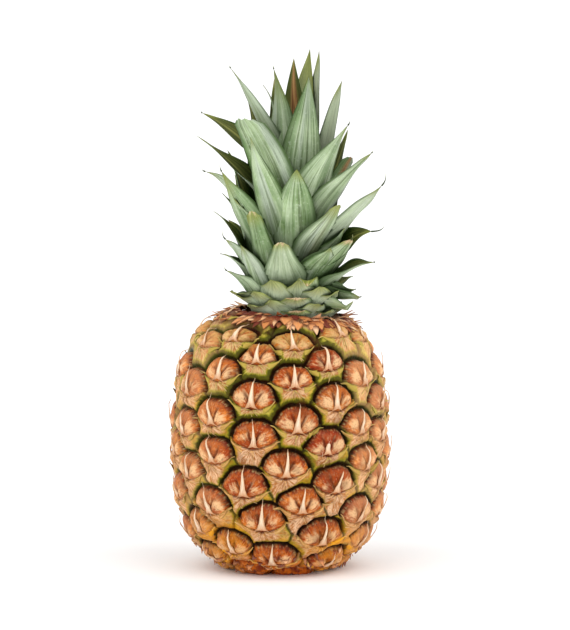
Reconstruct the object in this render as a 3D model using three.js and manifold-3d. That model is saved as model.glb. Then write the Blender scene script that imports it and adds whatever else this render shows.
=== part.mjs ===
// A whole pineapple standing on its foot: fruit, crown of leaves and stalk stub.
// Millimetres, +Z up. The origin is the middle of the foot, on the surface that it stands on.
// Angles are degrees round +Z, from the front (-Y) towards +X.

import * as THREE from 'three';
import Module from 'manifold-3d';
import { mergeVertices } from 'three/addons/utils/BufferGeometryUtils.js';
import { ConvexHull } from 'three/addons/math/ConvexHull.js';

// ---- driving dimensions ----
const BODY_RADIUS = 60.5;        // widest radius of the fruit, midway between groove and cap
const BODY_MIDDLE = 74;          // height of the widest place
const BODY_HALF = 76;            // half height of the full barrel, which the foot and the neck cut
const BARREL_SIDE = 3;           // powers of the barrel's outline: higher is squarer
const BARREL_END = 2.6;
const NECK_FLOOR = 141;          // height of the shallow bowl that the crown stands in
const NECK_RADIUS = 27;          // radius of the bowl's flat floor
const NECK_SLOPE = 0.8;          // rise of the bowl's side for each millimetre outward
const NECK_RIM = 37;
const GAP = 0.3;                 // clearance between pieces that touch
const WELD = 0.002;              // corners closer than this are one

const EYE_COUNT = 114;
const GOLDEN_ANGLE = 137.50776;  // turn from one eye, or leaf, to the next that grew
const FIRST_EYE_TURN = -170.9;
const EYE_DRIFT = [6, 2, 5.4];   // how far the turn runs ahead towards the top: plain, squared, cubed
const EYE_SPACING = 23.5;        // what the eyes between the settled ones are eased apart to
const EYE_EASINGS = 30;
const EYE_LOWEST = -1.5;         // barrel heights that the row of eyes starts and ends at
const EYE_HIGHEST = 149;
const CAP_HEIGHT = 4;            // from groove to the top of an eye's cap
const SHOULDER = 1.6;            // how soon the skin rises from the groove to the cap
const SHOULDER_EDGE = 2.4;       // where the shoulder ends, inside the groove
const CAP_LEAN = 0.06;           // how much fuller an eye is above than below
const SPIKE_LENGTH = 15;
const SPIKE_WIDTH = 4.6;
const SPIKE_LIFT = 2.2;          // how far the spike's tip stands off the cap
const NECK_BRACTS = 26;
const NECK_BRACT_WIDTH = 8;
const NECK_BRACT_LENGTH = 12;
const NECK_BRACT_LIFT = 2.6;     // how far the tips of the neck's bracts stand off the shoulder

const STALK_RADIUS = 12;
const STALK_HEIGHT = 10;
const STALK_SIDES = 20;

const CROWN_OFFSET = 6.5;        // the crown grows a little to the right of the fruit's axis
const CORE_TOP = 240;
const CORE_RADIUS = 22;          // the core's foot, which the lowest leaf bases stand out of
const SEAT_SHARE = 0.9;          // share of the core's radius that the leaves' roots start at
const SEAT_ANGLE = 62;           // rise of a leaf where it leaves the core
const LEAF_THICKNESS = 0.9;
const BLUNT_ROUNDING = 1.2;      // how far a blunt end bulges past its last section
const SECTION_SPACING = 28;      // about one section of a leaf for each such length
const LEAF_COUNT = 66;           // leaves of the whole spiral that the back's leaves are taken from
const FIRST_LEAF_TURN = 42;
const FRONT_LEAVES_TURN = 112;   // the front's own leaves reach this far round

// Eyes of the front, settled where they grew: [turn, height].
const FRONT_EYES = [
  [8.5, 130.5], [-13.5, 124.5], [-32.5, 133.5], [-58, 130], [29, 121.5], [7.5, 112.5], [-37, 116],
  [53.5, 112], [-15, 102], [32, 99.8], [-60, 106], [-38.7, 91], [9.5, 88], [47.5, 85],
  [-14, 80], [26, 75.5], [-38.2, 69.5], [-62.5, 83], [3, 63], [53, 64.5], [-19.5, 52],
  [31, 53], [-57.5, 59], [12.6, 43], [-10, 33], [-42.5, 40.5], [50.5, 35], [26.3, 23.4], [-32.5, 17.7],
  [-5, 11], [70.5, 97], [69.5, 79], [65.5, 53], [-76, 70], [-55, 27.6],
];

// Leaves of the front and sides, inner ones first:
// [turn and height of the seat, turn, reach and height of the tip, width, angle of the tip over
// the horizontal, roll about the midrib].
const FRONT_LEAVES = [
  [178, 205, 145, 19, 296, 21, 80, 0], [170, 203, 124, 19, 295, 21, 88, 0],
  [164, 205, 173, 7, 291, 20, 88, 0], [-20, 203, -58, 11.4, 285, 22, 76, 12],
  [-102, 200, -98, 16.5, 276, 16, 50, 0], [-48, 226, -58, 40, 286, 12, 51, 25],
  [12, 196, 28, 20, 281, 26, 86, 0], [14, 184, 43, 46.5, 254.5, 28, 46, 5],
  [126, 200, 117, 32, 278, 16, 72, 20], [80, 196, 75, 30, 250, 14, 70, 0],
  [28, 184, 53, 56, 239, 17, 38, -12], [80, 192, 72, 35.5, 235, 19, 56, -30],
  [55, 172, 60, 58, 220.5, 21, 47, -10], [70, 162, 70, 48, 194, 26, 5, 46],
  [26, 172, 33, 47.5, 210, 22, 50, 10], [42, 159, 48, 44.5, 190, 29, 45, -8],
  [68, 155, 63, 52, 177, 26, 10, 14], [72, 154, 68, 38.5, 161, 20, 22, -30],
  [66, 151, 63, 44, 157, 19, 12, -30], [54, 146, 52, 44, 151.5, 20, 8, -30],
  [-75, 216, -85, 50.5, 260.5, 18, 27, -44], [-70, 201, -82, 54, 247, 19, 33, -35],
  [-8, 182, -42, 39.5, 257, 27, 52, 0], [-14, 176, -31.5, 43, 248, 21, 72, 0],
  [-40, 172, -61, 45, 228, 22, 60, 20], [-80, 172, -85, 49, 227, 14, 15, 30],
  [-92, 166, -92, 39.5, 214.5, 18, 44, 10], [-78, 156, -79, 45, 204.5, 20, 30, -20],
  [6, 172, 4, 36, 230, 25, 74, 0], [-40, 164, -31, 42, 206, 16, 68, 0],
  [-8, 158, -9, 39, 189, 26, 66, 0], [-58, 156, -48, 39, 187, 20, 50, 0],
  [-82, 150, -77, 37.5, 171, 30, 30, 10], [-76, 158, -75, 38.5, 189, 27, 42, 10],
  [-88, 156, -88, 40, 180, 18, 12, 0], [20, 150, 13, 41, 165, 16, -70, 0],
  [36, 164, 31, 42, 186, 22, 52, 0], [60, 170, 57, 36, 196, 20, 60, 0],
  [-60, 178, -58, 38, 213, 20, 60, 0], [-24, 148, -18, 35, 168, 22, 55, 0],
  [6, 147, 4, 34, 157.5, 21, 50, 0], [-40, 147, -37, 35, 161, 20, 50, 0],
  [30, 148, 28, 35, 164, 24, 52, 0], [-16, 143, -22, 32, 156.5, 21, 52, 0],
  [28, 143, 28, 32, 154, 20, 45, 0], [-70, 147, -66, 38, 160, 26, 32, 8],
  [-40, 142, -48, 33, 153, 25, 38, 0], [60, 145, 50, 34, 154, 18, 28, -20],
  [-58, 146, -62, 36, 158, 20, 32, 0], [6, 141.5, 6, 30.5, 150, 21, 50, 0],
  [48, 147, 47, 36, 161, 18, 45, 0], [14, 150, 6, 36, 168, 20, 52, 0],
  [48, 142, 46, 31, 149.5, 20, 40, 0], [80, 142, 84, 30, 149, 18, 30, 0],
];

// Share of the width that is left at the end of a leaf that broke or dried there, by its place.
const BLUNT_ENDS = { 11: 0.4, 14: 0.3, 15: 0.15, 22: 0.85, 29: 0.5, 30: 0.26, 35: 0.2, 40: 0.45, 49: 0.3 };

// ---- small helpers ----
const wasm = await Module();
wasm.setup();

const rad = THREE.MathUtils.degToRad;
const mix = THREE.MathUtils.lerp;
const clamp = THREE.MathUtils.clamp;
const outward = (turn) => new THREE.Vector3(Math.sin(rad(turn)), -Math.cos(rad(turn)), 0);
const UP = new THREE.Vector3(0, 0, 1);
const crownAxis = new THREE.Vector3(CROWN_OFFSET, 0, 0);

// Draws between -1 and 1 from a seed. Spikes, neck bracts and leaves each have a run of their own.
function seededDraw(start) {
  let seed = start;
  return () => {
    seed = (seed * 16807) % 2147483647;
    return (2 * seed) / 2147483647 - 1;
  };
}

const spikeDraw = seededDraw(20117);
const bractDraw = seededDraw(40127);
const leafDraw = seededDraw(60151);

function geometryOf(points, faces) {
  const geometry = new THREE.BufferGeometry().setFromPoints(points);
  return geometry.setIndex(faces.flat());
}

function solidOf(geometry) {
  const bare = geometry.clone();
  bare.deleteAttribute('normal');
  bare.deleteAttribute('uv');
  const merged = mergeVertices(bare, WELD);
  const vertProperties = new Float32Array(merged.attributes.position.array);
  const triVerts = new Uint32Array(merged.index.array);
  return new wasm.Manifold(new wasm.Mesh({ numProp: 3, vertProperties, triVerts }));
}

function surfaceOf(solid) {
  const { vertProperties, triVerts } = solid.getMesh();
  const geometry = new THREE.BufferGeometry();
  geometry.setAttribute('position', new THREE.Float32BufferAttribute(vertProperties, 3));
  return geometry.setIndex(Array.from(triVerts));
}

// The main body of a fused solid: loose scraps and the sealed hollows between leaves are dropped.
// Corners closer than the weld are joined, which can seal another hollow, so it goes round again.
function mainBody(solid) {
  let body = solid;
  for (let pass = 0; pass < 4; pass++) {
    const outer = solidOf(surfaceOf(body)).decompose().filter((piece) => piece.volume() > 0);
    body = outer.reduce((a, b) => (a.volume() > b.volume() ? a : b));
  }
  return body;
}

function meshOf(name, solid, look) {
  const geometry = surfaceOf(solid);
  geometry.computeVertexNormals();
  const mesh = new THREE.Mesh(geometry, new THREE.MeshStandardMaterial(look));
  mesh.name = name;
  return mesh;
}

// A solid turned about +Z from an outline of [radius, height] pairs that starts and ends on the axis.
function turned(outline, sides) {
  const lathe = new THREE.LatheGeometry(outline.map(([r, z]) => new THREE.Vector2(r, z)), sides);
  return solidOf(lathe.rotateX(Math.PI / 2));
}

// A pyramid on three base corners, wound so that its faces point out.
function pyramid([a, b, c], tip) {
  const normal = b.clone().sub(a).cross(c.clone().sub(a));
  const base = normal.dot(tip.clone().sub(a)) > 0 ? [a, b, c] : [a, c, b];
  return solidOf(geometryOf([...base, tip], [[0, 2, 1], [0, 1, 3], [1, 2, 3], [2, 0, 3]]));
}

// ---- the fruit ----
const middle = new THREE.Vector3(0, 0, BODY_MIDDLE);

// The point of the smooth barrel in the direction of a point, seen from the barrel's middle.
function onBarrel(point) {
  const aim = point.clone().sub(middle);
  const across = Math.hypot(aim.x, aim.y) / BODY_RADIUS;
  const along = Math.abs(aim.z) / BODY_HALF;
  let scale = 1 / Math.max(across, along);
  for (let step = 0; step < 12; step++) {
    const side = (scale * across) ** BARREL_SIDE;
    const end = (scale * along) ** BARREL_END;
    scale *= 1 + (1 - side - end) / (BARREL_SIDE * side + BARREL_END * end);
  }
  return aim.multiplyScalar(scale).add(middle);
}

function barrelNormal(point) {
  const side = Math.hypot(point.x, point.y) / BODY_RADIUS;
  const end = (point.z - BODY_MIDDLE) / BODY_HALF;
  const slope = (BARREL_SIDE * side ** (BARREL_SIDE - 1)) / BODY_RADIUS;
  const rise = (BARREL_END * Math.abs(end) ** (BARREL_END - 1) * Math.sign(end)) / BODY_HALF;
  const flat = new THREE.Vector3(point.x, point.y, 0).normalize().multiplyScalar(slope);
  return flat.setZ(rise).normalize();
}

function barrelRadius(height) {
  const end = Math.abs((height - BODY_MIDDLE) / BODY_HALF);
  return BODY_RADIUS * (1 - end ** BARREL_END) ** (1 / BARREL_SIDE);
}

function barrelPoint(turn, height) {
  return outward(turn).multiplyScalar(barrelRadius(height)).setZ(height);
}

// Heights that share the barrel's skin into equal areas, one for each eye.
function evenHeights(count) {
  const steps = 600;
  const area = [0];
  for (let step = 0; step < steps; step++) {
    const low = mix(EYE_LOWEST, EYE_HIGHEST, step / steps);
    const high = mix(EYE_LOWEST, EYE_HIGHEST, (step + 1) / steps);
    const rise = Math.hypot(barrelRadius(high) - barrelRadius(low), high - low);
    area.push(area[step] + rise * (barrelRadius(low) + barrelRadius(high)));
  }
  const heights = [];
  for (let index = 1; index <= count; index++) {
    const step = area.findIndex((sum) => sum >= (index / (count + 0.25)) * area[steps]);
    heights.push(mix(EYE_LOWEST, EYE_HIGHEST, step / steps));
  }
  return heights;
}

// Every eye has a centre on the barrel, its outward normal, and the ways right and up along the skin.
function eyeAt(centre) {
  const normal = barrelNormal(centre);
  const right = new THREE.Vector3(-centre.y, centre.x, 0).normalize();
  return { centre, normal, right, up: normal.clone().cross(right) };
}

// The spiral that the eyes grew in, from the foot up.
function spiralCentres() {
  return evenHeights(EYE_COUNT).map((height, index) => {
    const up = (height - BODY_MIDDLE) / BODY_HALF;
    const drift = EYE_DRIFT[0] * up + EYE_DRIFT[1] * up ** 2 + EYE_DRIFT[2] * up ** 3;
    return barrelPoint(FIRST_EYE_TURN + index * GOLDEN_ANGLE + drift, height);
  });
}

// Puts the nearest centre of the spiral on each settled place, and returns which were moved.
function settle(centres) {
  const settled = new Set();
  for (const [turn, height] of FRONT_EYES) {
    const place = barrelPoint(turn, height);
    const free = centres.map((_, index) => index).filter((index) => !settled.has(index));
    const gap = (index) => centres[index].distanceTo(place);
    const nearest = free.reduce((a, b) => (gap(a) < gap(b) ? a : b));
    centres[nearest] = place;
    settled.add(nearest);
  }
  return settled;
}

// Pushes the centres that aren't settled away from those too near.
function easeApart(centres, settled) {
  centres.forEach((centre, index) => {
    if (settled.has(index)) return;
    const push = new THREE.Vector3();
    for (const other of centres) {
      const gap = centre.distanceTo(other);
      if (other !== centre && gap < EYE_SPACING) {
        push.addScaledVector(centre.clone().sub(other), (0.3 * (EYE_SPACING - gap)) / gap);
      }
    }
    centres[index] = onBarrel(centre.clone().add(push));
  });
}

function placeEyes() {
  const centres = spiralCentres();
  const settled = settle(centres);
  for (let easing = 0; easing < EYE_EASINGS; easing++) easeApart(centres, settled);
  return centres.map(eyeAt);
}

const eyes = placeEyes();

// The eye that a point belongs to, how far inside its groove it is, and how far over its middle.
function eyePlace(point) {
  const gaps = eyes.map((eye) => eye.centre.distanceToSquared(point));
  const own = gaps.indexOf(Math.min(...gaps));
  const eye = eyes[own];
  let inside = Infinity;
  gaps.forEach((gap, index) => {
    if (index === own) return;
    const apart = eye.centre.distanceTo(eyes[index].centre);
    inside = Math.min(inside, (gap - gaps[own]) / (2 * apart));
  });
  return { eye, inside, up: point.clone().sub(eye.centre).dot(eye.up) };
}

// Height of the skin over the barrel: a pillow inside the groove, fuller above than below.
function relief(point) {
  const { inside, up } = eyePlace(point);
  const dome = 1 - Math.exp(-inside / SHOULDER);
  return dome * (CAP_HEIGHT + CAP_LEAN * up) - CAP_HEIGHT / 2;
}

function raised(point) {
  const place = point.clone().addScaledVector(barrelNormal(point), relief(point));
  return place.setZ(Math.max(place.z, 0));
}

// Rings of skin points in an eye: [points, distance inside the groove].
const EYE_RINGS = [[9, SHOULDER_EDGE], [6, 7]];
const GROOVE_POINTS = 18;
const GROOVE_SPACING = 3.7;

// The place in an eye, a share of a turn round it, that lies a given way inside the groove.
function rimPoint(eye, share, wanted) {
  const angle = 2 * Math.PI * share;
  let near = 1;
  let far = 24;
  const at = (reach) => onBarrel(eye.centre.clone()
    .addScaledVector(eye.right, reach * Math.cos(angle))
    .addScaledVector(eye.up, reach * Math.sin(angle)));
  for (let step = 0; step < 18; step++) {
    const reach = (near + far) / 2;
    const place = eyePlace(at(reach));
    if (place.eye === eye && place.inside > wanted) near = reach;
    else far = reach;
  }
  return at(near);
}

function skinSamples() {
  const samples = [];
  const groove = [];
  const keep = (point) => point.z > 1 && samples.push(point);
  for (const eye of eyes) {
    keep(eye.centre);
    for (const [count, inside] of EYE_RINGS) {
      for (let index = 0; index < count; index++) keep(rimPoint(eye, (index + 0.5) / count, inside));
    }
    for (let index = 0; index < GROOVE_POINTS; index++) {
      const point = rimPoint(eye, index / GROOVE_POINTS, 0);
      if (groove.every((other) => other.distanceTo(point) > GROOVE_SPACING)) groove.push(point);
    }
  }
  groove.forEach(keep);
  return samples;
}

// The skin is stretched over samples of the barrel, which is round everywhere, and then raised.
function skin() {
  const samples = skinSamples();
  const foot = barrelRadius(0);
  for (let turn = 0; turn < 360; turn += 15) samples.push(outward(turn).multiplyScalar(foot));
  const place = new Map(samples.map((point, index) => [point, index]));
  const hull = new ConvexHull().setFromPoints(samples);
  const faces = hull.faces.map((face) => {
    const corners = [];
    let edge = face.edge;
    do {
      corners.push(place.get(edge.head().point));
      edge = edge.next;
    } while (edge !== face.edge);
    return corners;
  });
  return solidOf(geometryOf(samples.map((point) => (point.z > 0 ? raised(point) : point)), faces));
}

// The dry point of a bract, which rises from the crease over the cap.
function spike(eye) {
  const at = (right, up, out) => eye.centre.clone().addScaledVector(eye.right, right)
    .addScaledVector(eye.up, up).addScaledVector(eye.normal, out);
  const lean = 1.5 * spikeDraw();
  const half = SPIKE_WIDTH / 2;
  const base = [at(-half, -4.2, -0.6), at(half, -4.2, -0.6), at(0, -3.4, 2.6)];
  return pyramid(base, at(lean, SPIKE_LENGTH - 4, CAP_HEIGHT / 2 + SPIKE_LIFT));
}

// A dry bract of the neck: a thin three-sided blade that hangs outward over the fruit's shoulder.
function neckBract(index) {
  const turn = (360 / NECK_BRACTS) * (index + 0.3 * bractDraw());
  const out = outward(turn);
  const side = outward(turn + 90).multiplyScalar(NECK_BRACT_WIDTH / 2);
  const root = crownAxis.clone().addScaledVector(out, NECK_RADIUS + 3).setZ(NECK_FLOOR + 1.5);
  const shoulder = onBarrel(root.clone().addScaledVector(out, NECK_BRACT_LENGTH + 3 * bractDraw()));
  const tip = shoulder.addScaledVector(barrelNormal(shoulder), NECK_BRACT_LIFT + bractDraw());
  const back = root.clone().addScaledVector(out, 3).addScaledVector(UP, 4);
  return pyramid([root.clone().sub(side), root.clone().add(side), back], tip);
}

// The bowl that the crown stands in, up to well over the fruit.
function neckBowl() {
  const rim = NECK_FLOOR + NECK_SLOPE * (NECK_RIM - NECK_RADIUS);
  const floor = [[0, NECK_FLOOR], [NECK_RADIUS, NECK_FLOOR]];
  const side = [[NECK_RIM, rim], [NECK_RIM, CORE_TOP], [0, CORE_TOP]];
  return turned([...floor, ...side], 48).translate(crownAxis.toArray());
}

function stalkSocket() {
  const radius = STALK_RADIUS + 1.4 * GAP;
  return turned([[0, -1], [radius, -1], [radius, STALK_HEIGHT], [0, STALK_HEIGHT]], 32);
}

function fruit() {
  let solid = skin();
  for (const eye of eyes) {
    if (eye.centre.z > 8) solid = solid.add(spike(eye));
  }
  for (let index = 0; index < NECK_BRACTS; index++) solid = solid.add(neckBract(index));
  return mainBody(solid.subtract(neckBowl()).subtract(stalkSocket()));
}

// ---- the crown ----
function coreRadius(height) {
  const along = clamp((height - NECK_FLOOR) / (CORE_TOP - NECK_FLOOR), 0, 1);
  return CORE_RADIUS * (1 - along ** 1.7) + 0.8;
}

function crownCore() {
  const outline = [[0, NECK_FLOOR + GAP]];
  for (let step = 0; step <= 6; step++) {
    const height = mix(NECK_FLOOR + GAP, CORE_TOP, step / 6);
    outline.push([coreRadius(height), height]);
  }
  return turned([...outline, [0, CORE_TOP + 1]], 16);
}

// Share of the full width at a place between seat, 0, and tip, 1.
function widthShare(along, blunt) {
  if (along < 0.3) return 0.72 + 0.28 * Math.sin((along / 0.3) * (Math.PI / 2));
  return 1 - (1 - blunt) * ((along - 0.3) / 0.7) ** 1.7;
}

// The midrib: it leaves the core steeply and reaches the tip at the tip's own angle.
function midrib(turn, seat, lean, reach, top, tipAngle) {
  const start = outward(turn).multiplyScalar(SEAT_SHARE * coreRadius(seat)).setZ(seat);
  const end = outward(lean).multiplyScalar(reach).setZ(top);
  const pull = 0.36 * start.distanceTo(end);
  const rise = rad(SEAT_ANGLE);
  const leave = outward(turn).multiplyScalar(Math.cos(rise)).setZ(Math.sin(rise));
  const arrive = outward(lean).multiplyScalar(Math.cos(rad(tipAngle))).setZ(Math.sin(rad(tipAngle)));
  const near = start.clone().addScaledVector(leave, pull);
  const far = end.clone().addScaledVector(arrive, -pull);
  return new THREE.CubicBezierCurve3(start, near, far, end);
}

// Keeps a point of a leaf over the bowl in the fruit's top.
function overNeck(point) {
  const past = Math.max(0, Math.hypot(point.x, point.y) - NECK_RADIUS);
  return point.setZ(Math.max(point.z, NECK_FLOOR + LEAF_THICKNESS + NECK_SLOPE * past));
}

// A channelled blade: stations of three points across, each on an outer and an inner face. A blunt
// one has a last station at its end.
function leaf([turn, seat, lean, reach, top, width, tipAngle, roll], blunt = 0) {
  const rib = midrib(turn, seat, lean, reach, top, tipAngle);
  const sections = Math.max(2, Math.round(rib.getLength() / SECTION_SPACING) + 1);
  const stations = blunt > 0 ? sections + 1 : sections;
  const points = [];
  for (let station = 0; station < stations; station++) {
    const along = station / sections;
    const centre = rib.getPoint(along);
    const forward = rib.getTangent(along);
    const across = outward(mix(turn, lean, along) + 90);
    across.addScaledVector(forward, -across.dot(forward)).normalize();
    const rolled = roll * Math.sin((Math.min(1.4 * along, 1) * Math.PI) / 2);
    across.applyAxisAngle(forward, rad(rolled));
    const out = across.clone().cross(forward);
    const wrap = rad(60 - 38 * along);
    const half = (width / 2) * widthShare(along, blunt);
    const lift = (half * (1 - Math.cos(wrap))) / Math.sin(wrap);
    for (const side of [-1, 0, 1]) {
      const spot = centre.clone().addScaledVector(across, side * half)
        .addScaledVector(out, -Math.abs(side) * lift);
      overNeck(spot);
      for (const face of [-0.5, 0.5]) points.push(spot.clone().addScaledVector(out, face * LEAF_THICKNESS));
    }
  }
  const end = rib.getPoint(1).addScaledVector(rib.getTangent(1), blunt > 0 ? BLUNT_ROUNDING : 0);
  points.push(overNeck(end));
  return solidOf(geometryOf(points, bladeFaces(stations)));
}

// Triangles of a blade: six points round each station, and one at the tip. The inner and the outer
// face are split along the same diagonals, so they keep their distance where the blade is waved.
function bladeFaces(stations) {
  const ring = [0, 1, 3, 5, 4, 2];
  const faces = [];
  const corner = (station, spot) => (station === stations ? 6 * stations : 6 * station + ring[spot % 6]);
  for (let station = 0; station < stations; station++) {
    for (let spot = 0; spot < 6; spot++) {
      const [a, b] = [corner(station, spot), corner(station, spot + 1)];
      const [c, d] = [corner(station + 1, spot + 1), corner(station + 1, spot)];
      if (c === d) faces.push([a, b, c]);
      else if (spot < 3) faces.push([a, b, d], [b, c, d]);
      else faces.push([a, b, c], [a, c, d]);
    }
  }
  faces.push([0, 2, 1], [1, 2, 3], [2, 4, 3], [3, 4, 5]);
  return faces;
}

// Leaves of the back, by rule: each stands a golden angle on from the last and a little higher.
function backLeaves() {
  const leaves = [];
  for (let index = 0; index < LEAF_COUNT; index++) {
    const turn = ((FIRST_LEAF_TURN + index * GOLDEN_ANGLE + 540) % 360) - 180;
    const age = ((index + 0.5) / LEAF_COUNT) ** 1.35;
    const jitter = [leafDraw(), leafDraw(), leafDraw(), leafDraw()];
    if (Math.abs(turn) < FRONT_LEAVES_TURN) continue;
    const reach = 34 + 62 * age * (1 - age) - 14 * age * age + 3 * jitter[0];
    const top = 152 + 130 * age ** 0.85 + 5 * jitter[1];
    const width = 24 + 16 * age * (1 - age) - 10 * age * age;
    const seat = mix(143, 205, age);
    const tipAngle = 22 + 62 * age + 12 * jitter[3];
    leaves.push([turn, seat, turn + 7 * jitter[2], reach, top, width, tipAngle, 0]);
  }
  return leaves;
}

function crown() {
  let solid = crownCore();
  FRONT_LEAVES.forEach((row, index) => { solid = solid.add(leaf(row, BLUNT_ENDS[index])); });
  for (const row of backLeaves()) solid = solid.add(leaf(row));
  return mainBody(solid.translate(crownAxis.toArray()));
}

// ---- the stalk ----
// A short fluted stub in its socket. Its cut face is level with the foot.
function stalk() {
  const outline = [];
  for (let index = 0; index < STALK_SIDES; index++) {
    const turn = (2 * Math.PI * index) / STALK_SIDES;
    const radius = STALK_RADIUS * (0.96 + 0.04 * Math.sin(5 * turn));
    outline.push(new THREE.Vector2(radius * Math.cos(turn), radius * Math.sin(turn)));
  }
  const depth = STALK_HEIGHT - GAP;
  return solidOf(new THREE.ExtrudeGeometry(new THREE.Shape(outline), { depth, bevelEnabled: false }));
}

const pineapple = new THREE.Group();
pineapple.add(meshOf('fruit', fruit(), { color: 0xb8742f, roughness: 0.6, metalness: 0 }));
pineapple.add(meshOf('crown', crown(), { color: 0x8fae86, roughness: 0.65, metalness: 0 }));
pineapple.add(meshOf('stalk', stalk(), { color: 0xc9a878, roughness: 0.85, metalness: 0 }));

export default pineapple;
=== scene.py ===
"""Looks for the whole pineapple: fine rind, spikes, neck bracts, crown leaves and stalk, in metres."""

import math

import bpy
import numpy as np
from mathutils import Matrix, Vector
from mathutils.bvhtree import BVHTree


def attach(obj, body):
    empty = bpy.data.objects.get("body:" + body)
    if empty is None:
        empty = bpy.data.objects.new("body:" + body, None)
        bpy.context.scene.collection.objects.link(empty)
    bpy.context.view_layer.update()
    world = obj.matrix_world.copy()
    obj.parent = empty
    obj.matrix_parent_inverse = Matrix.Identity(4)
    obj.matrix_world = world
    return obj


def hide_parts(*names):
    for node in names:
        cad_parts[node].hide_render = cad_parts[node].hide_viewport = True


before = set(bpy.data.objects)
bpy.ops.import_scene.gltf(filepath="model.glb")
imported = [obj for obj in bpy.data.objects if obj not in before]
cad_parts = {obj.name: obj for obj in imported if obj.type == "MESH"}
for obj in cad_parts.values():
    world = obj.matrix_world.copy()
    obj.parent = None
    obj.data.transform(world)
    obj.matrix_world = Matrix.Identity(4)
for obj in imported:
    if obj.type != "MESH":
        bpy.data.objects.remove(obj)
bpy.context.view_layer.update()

# ---- the fruit's own dimensions, in millimetres, as the CAD source has them ----
BODY_RADIUS, BODY_MIDDLE, BODY_HALF = 60.5, 74.0, 76.0
BARREL_SIDE, BARREL_END = 3.0, 2.6
NECK_FLOOR, NECK_RADIUS, NECK_SLOPE = 141.0, 27.0, 0.8
GAP = 0.3
EYE_COUNT, GOLDEN_ANGLE, FIRST_EYE_TURN = 114, 137.50776, -170.9
EYE_DRIFT = (6.0, 2.0, 5.4)
EYE_SPACING, EYE_EASINGS, EYE_LOWEST, EYE_HIGHEST = 23.5, 30, -1.5, 149.0
STALK_RADIUS, STALK_HEIGHT = 12.0, 10.0
CROWN_OFFSET, CORE_TOP, CORE_RADIUS = 6.5, 240.0, 22.0
SEAT_SHARE, SEAT_ANGLE, LEAF_THICKNESS = 0.9, 62.0, 0.9
LEAF_COUNT, FIRST_LEAF_TURN, FRONT_LEAVES_TURN = 66, 42.0, 112.0

# Turn and height of the eyes of the front and sides.
FRONT_EYES = [
    (8.5, 130.5), (-13.5, 124.5), (-32.5, 133.5), (-58, 130), (29, 121.5), (7.5, 112.5), (-37, 116),
    (53.5, 112), (-15, 102), (32, 99.8), (-60, 106), (-38.7, 91), (9.5, 88), (47.5, 85),
    (-14, 80), (26, 75.5), (-38.2, 69.5), (-62.5, 83), (3, 63), (53, 64.5), (-19.5, 52),
    (31, 53), (-57.5, 59), (12.6, 43), (-10, 33), (-42.5, 40.5), (50.5, 35), (26.3, 23.4), (-32.5, 17.7),
    (-5, 11), (70.5, 97), (69.5, 79), (65.5, 53), (-76, 70), (-55, 27.6),
]

# Leaves of the front and sides, inner ones first: turn and height of the seat, turn, reach and
# height of the tip, width, angle of the tip over the horizontal, roll about the midrib.
FRONT_LEAVES = [
    (178, 205, 145, 19, 296, 21, 80, 0), (170, 203, 124, 19, 295, 21, 88, 0),
    (164, 205, 173, 7, 291, 20, 88, 0), (-20, 203, -58, 11.4, 285, 22, 76, 12),
    (-102, 200, -98, 16.5, 276, 16, 50, 0), (-48, 226, -58, 40, 286, 12, 51, 25),
    (12, 196, 28, 20, 281, 26, 86, 0), (14, 184, 43, 46.5, 254.5, 28, 46, 5),
    (126, 200, 117, 32, 278, 16, 72, 20), (80, 196, 75, 30, 250, 14, 70, 0),
    (28, 184, 53, 56, 239, 17, 38, -12), (80, 192, 72, 35.5, 235, 19, 56, -30),
    (55, 172, 60, 58, 220.5, 21, 47, -10), (70, 162, 70, 48, 194, 26, 5, 46),
    (26, 172, 33, 47.5, 210, 22, 50, 10), (42, 159, 48, 44.5, 190, 29, 45, -8),
    (68, 155, 63, 52, 177, 26, 10, 14), (72, 154, 68, 38.5, 161, 20, 22, -30),
    (66, 151, 63, 44, 157, 19, 12, -30), (54, 146, 52, 44, 151.5, 20, 8, -30),
    (-75, 216, -85, 50.5, 260.5, 18, 27, -44), (-70, 201, -82, 54, 247, 19, 33, -35),
    (-8, 182, -42, 39.5, 257, 27, 52, 0), (-14, 176, -31.5, 43, 248, 21, 72, 0),
    (-40, 172, -61, 45, 228, 22, 60, 20), (-80, 172, -85, 49, 227, 14, 15, 30),
    (-92, 166, -92, 39.5, 214.5, 18, 44, 10), (-78, 156, -79, 45, 204.5, 20, 30, -20),
    (6, 172, 4, 36, 230, 25, 74, 0), (-40, 164, -31, 42, 206, 16, 68, 0),
    (-8, 158, -9, 39, 189, 26, 66, 0), (-58, 156, -48, 39, 187, 20, 50, 0),
    (-82, 150, -77, 37.5, 171, 30, 30, 10), (-76, 158, -75, 38.5, 189, 27, 42, 10),
    (-88, 156, -88, 40, 180, 18, 12, 0), (20, 150, 13, 41, 165, 16, -70, 0),
    (36, 164, 31, 42, 186, 22, 52, 0), (60, 170, 57, 36, 196, 20, 60, 0),
    (-60, 178, -58, 38, 213, 20, 60, 0), (-24, 148, -18, 35, 168, 22, 55, 0),
    (6, 147, 4, 34, 157.5, 21, 50, 0), (-40, 147, -37, 35, 161, 20, 50, 0),
    (30, 148, 28, 35, 164, 24, 52, 0), (-16, 143, -22, 32, 156.5, 21, 52, 0),
    (28, 143, 28, 32, 154, 20, 45, 0), (-70, 147, -66, 38, 160, 26, 32, 8),
    (-40, 142, -48, 33, 153, 25, 38, 0), (60, 145, 50, 34, 154, 18, 28, -20),
    (-58, 146, -62, 36, 158, 20, 32, 0), (6, 141.5, 6, 30.5, 150, 21, 50, 0),
    (48, 147, 47, 36, 161, 18, 45, 0), (14, 150, 6, 36, 168, 20, 52, 0),
    (48, 142, 46, 31, 149.5, 20, 40, 0), (80, 142, 84, 30, 149, 18, 30, 0),
]

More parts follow.
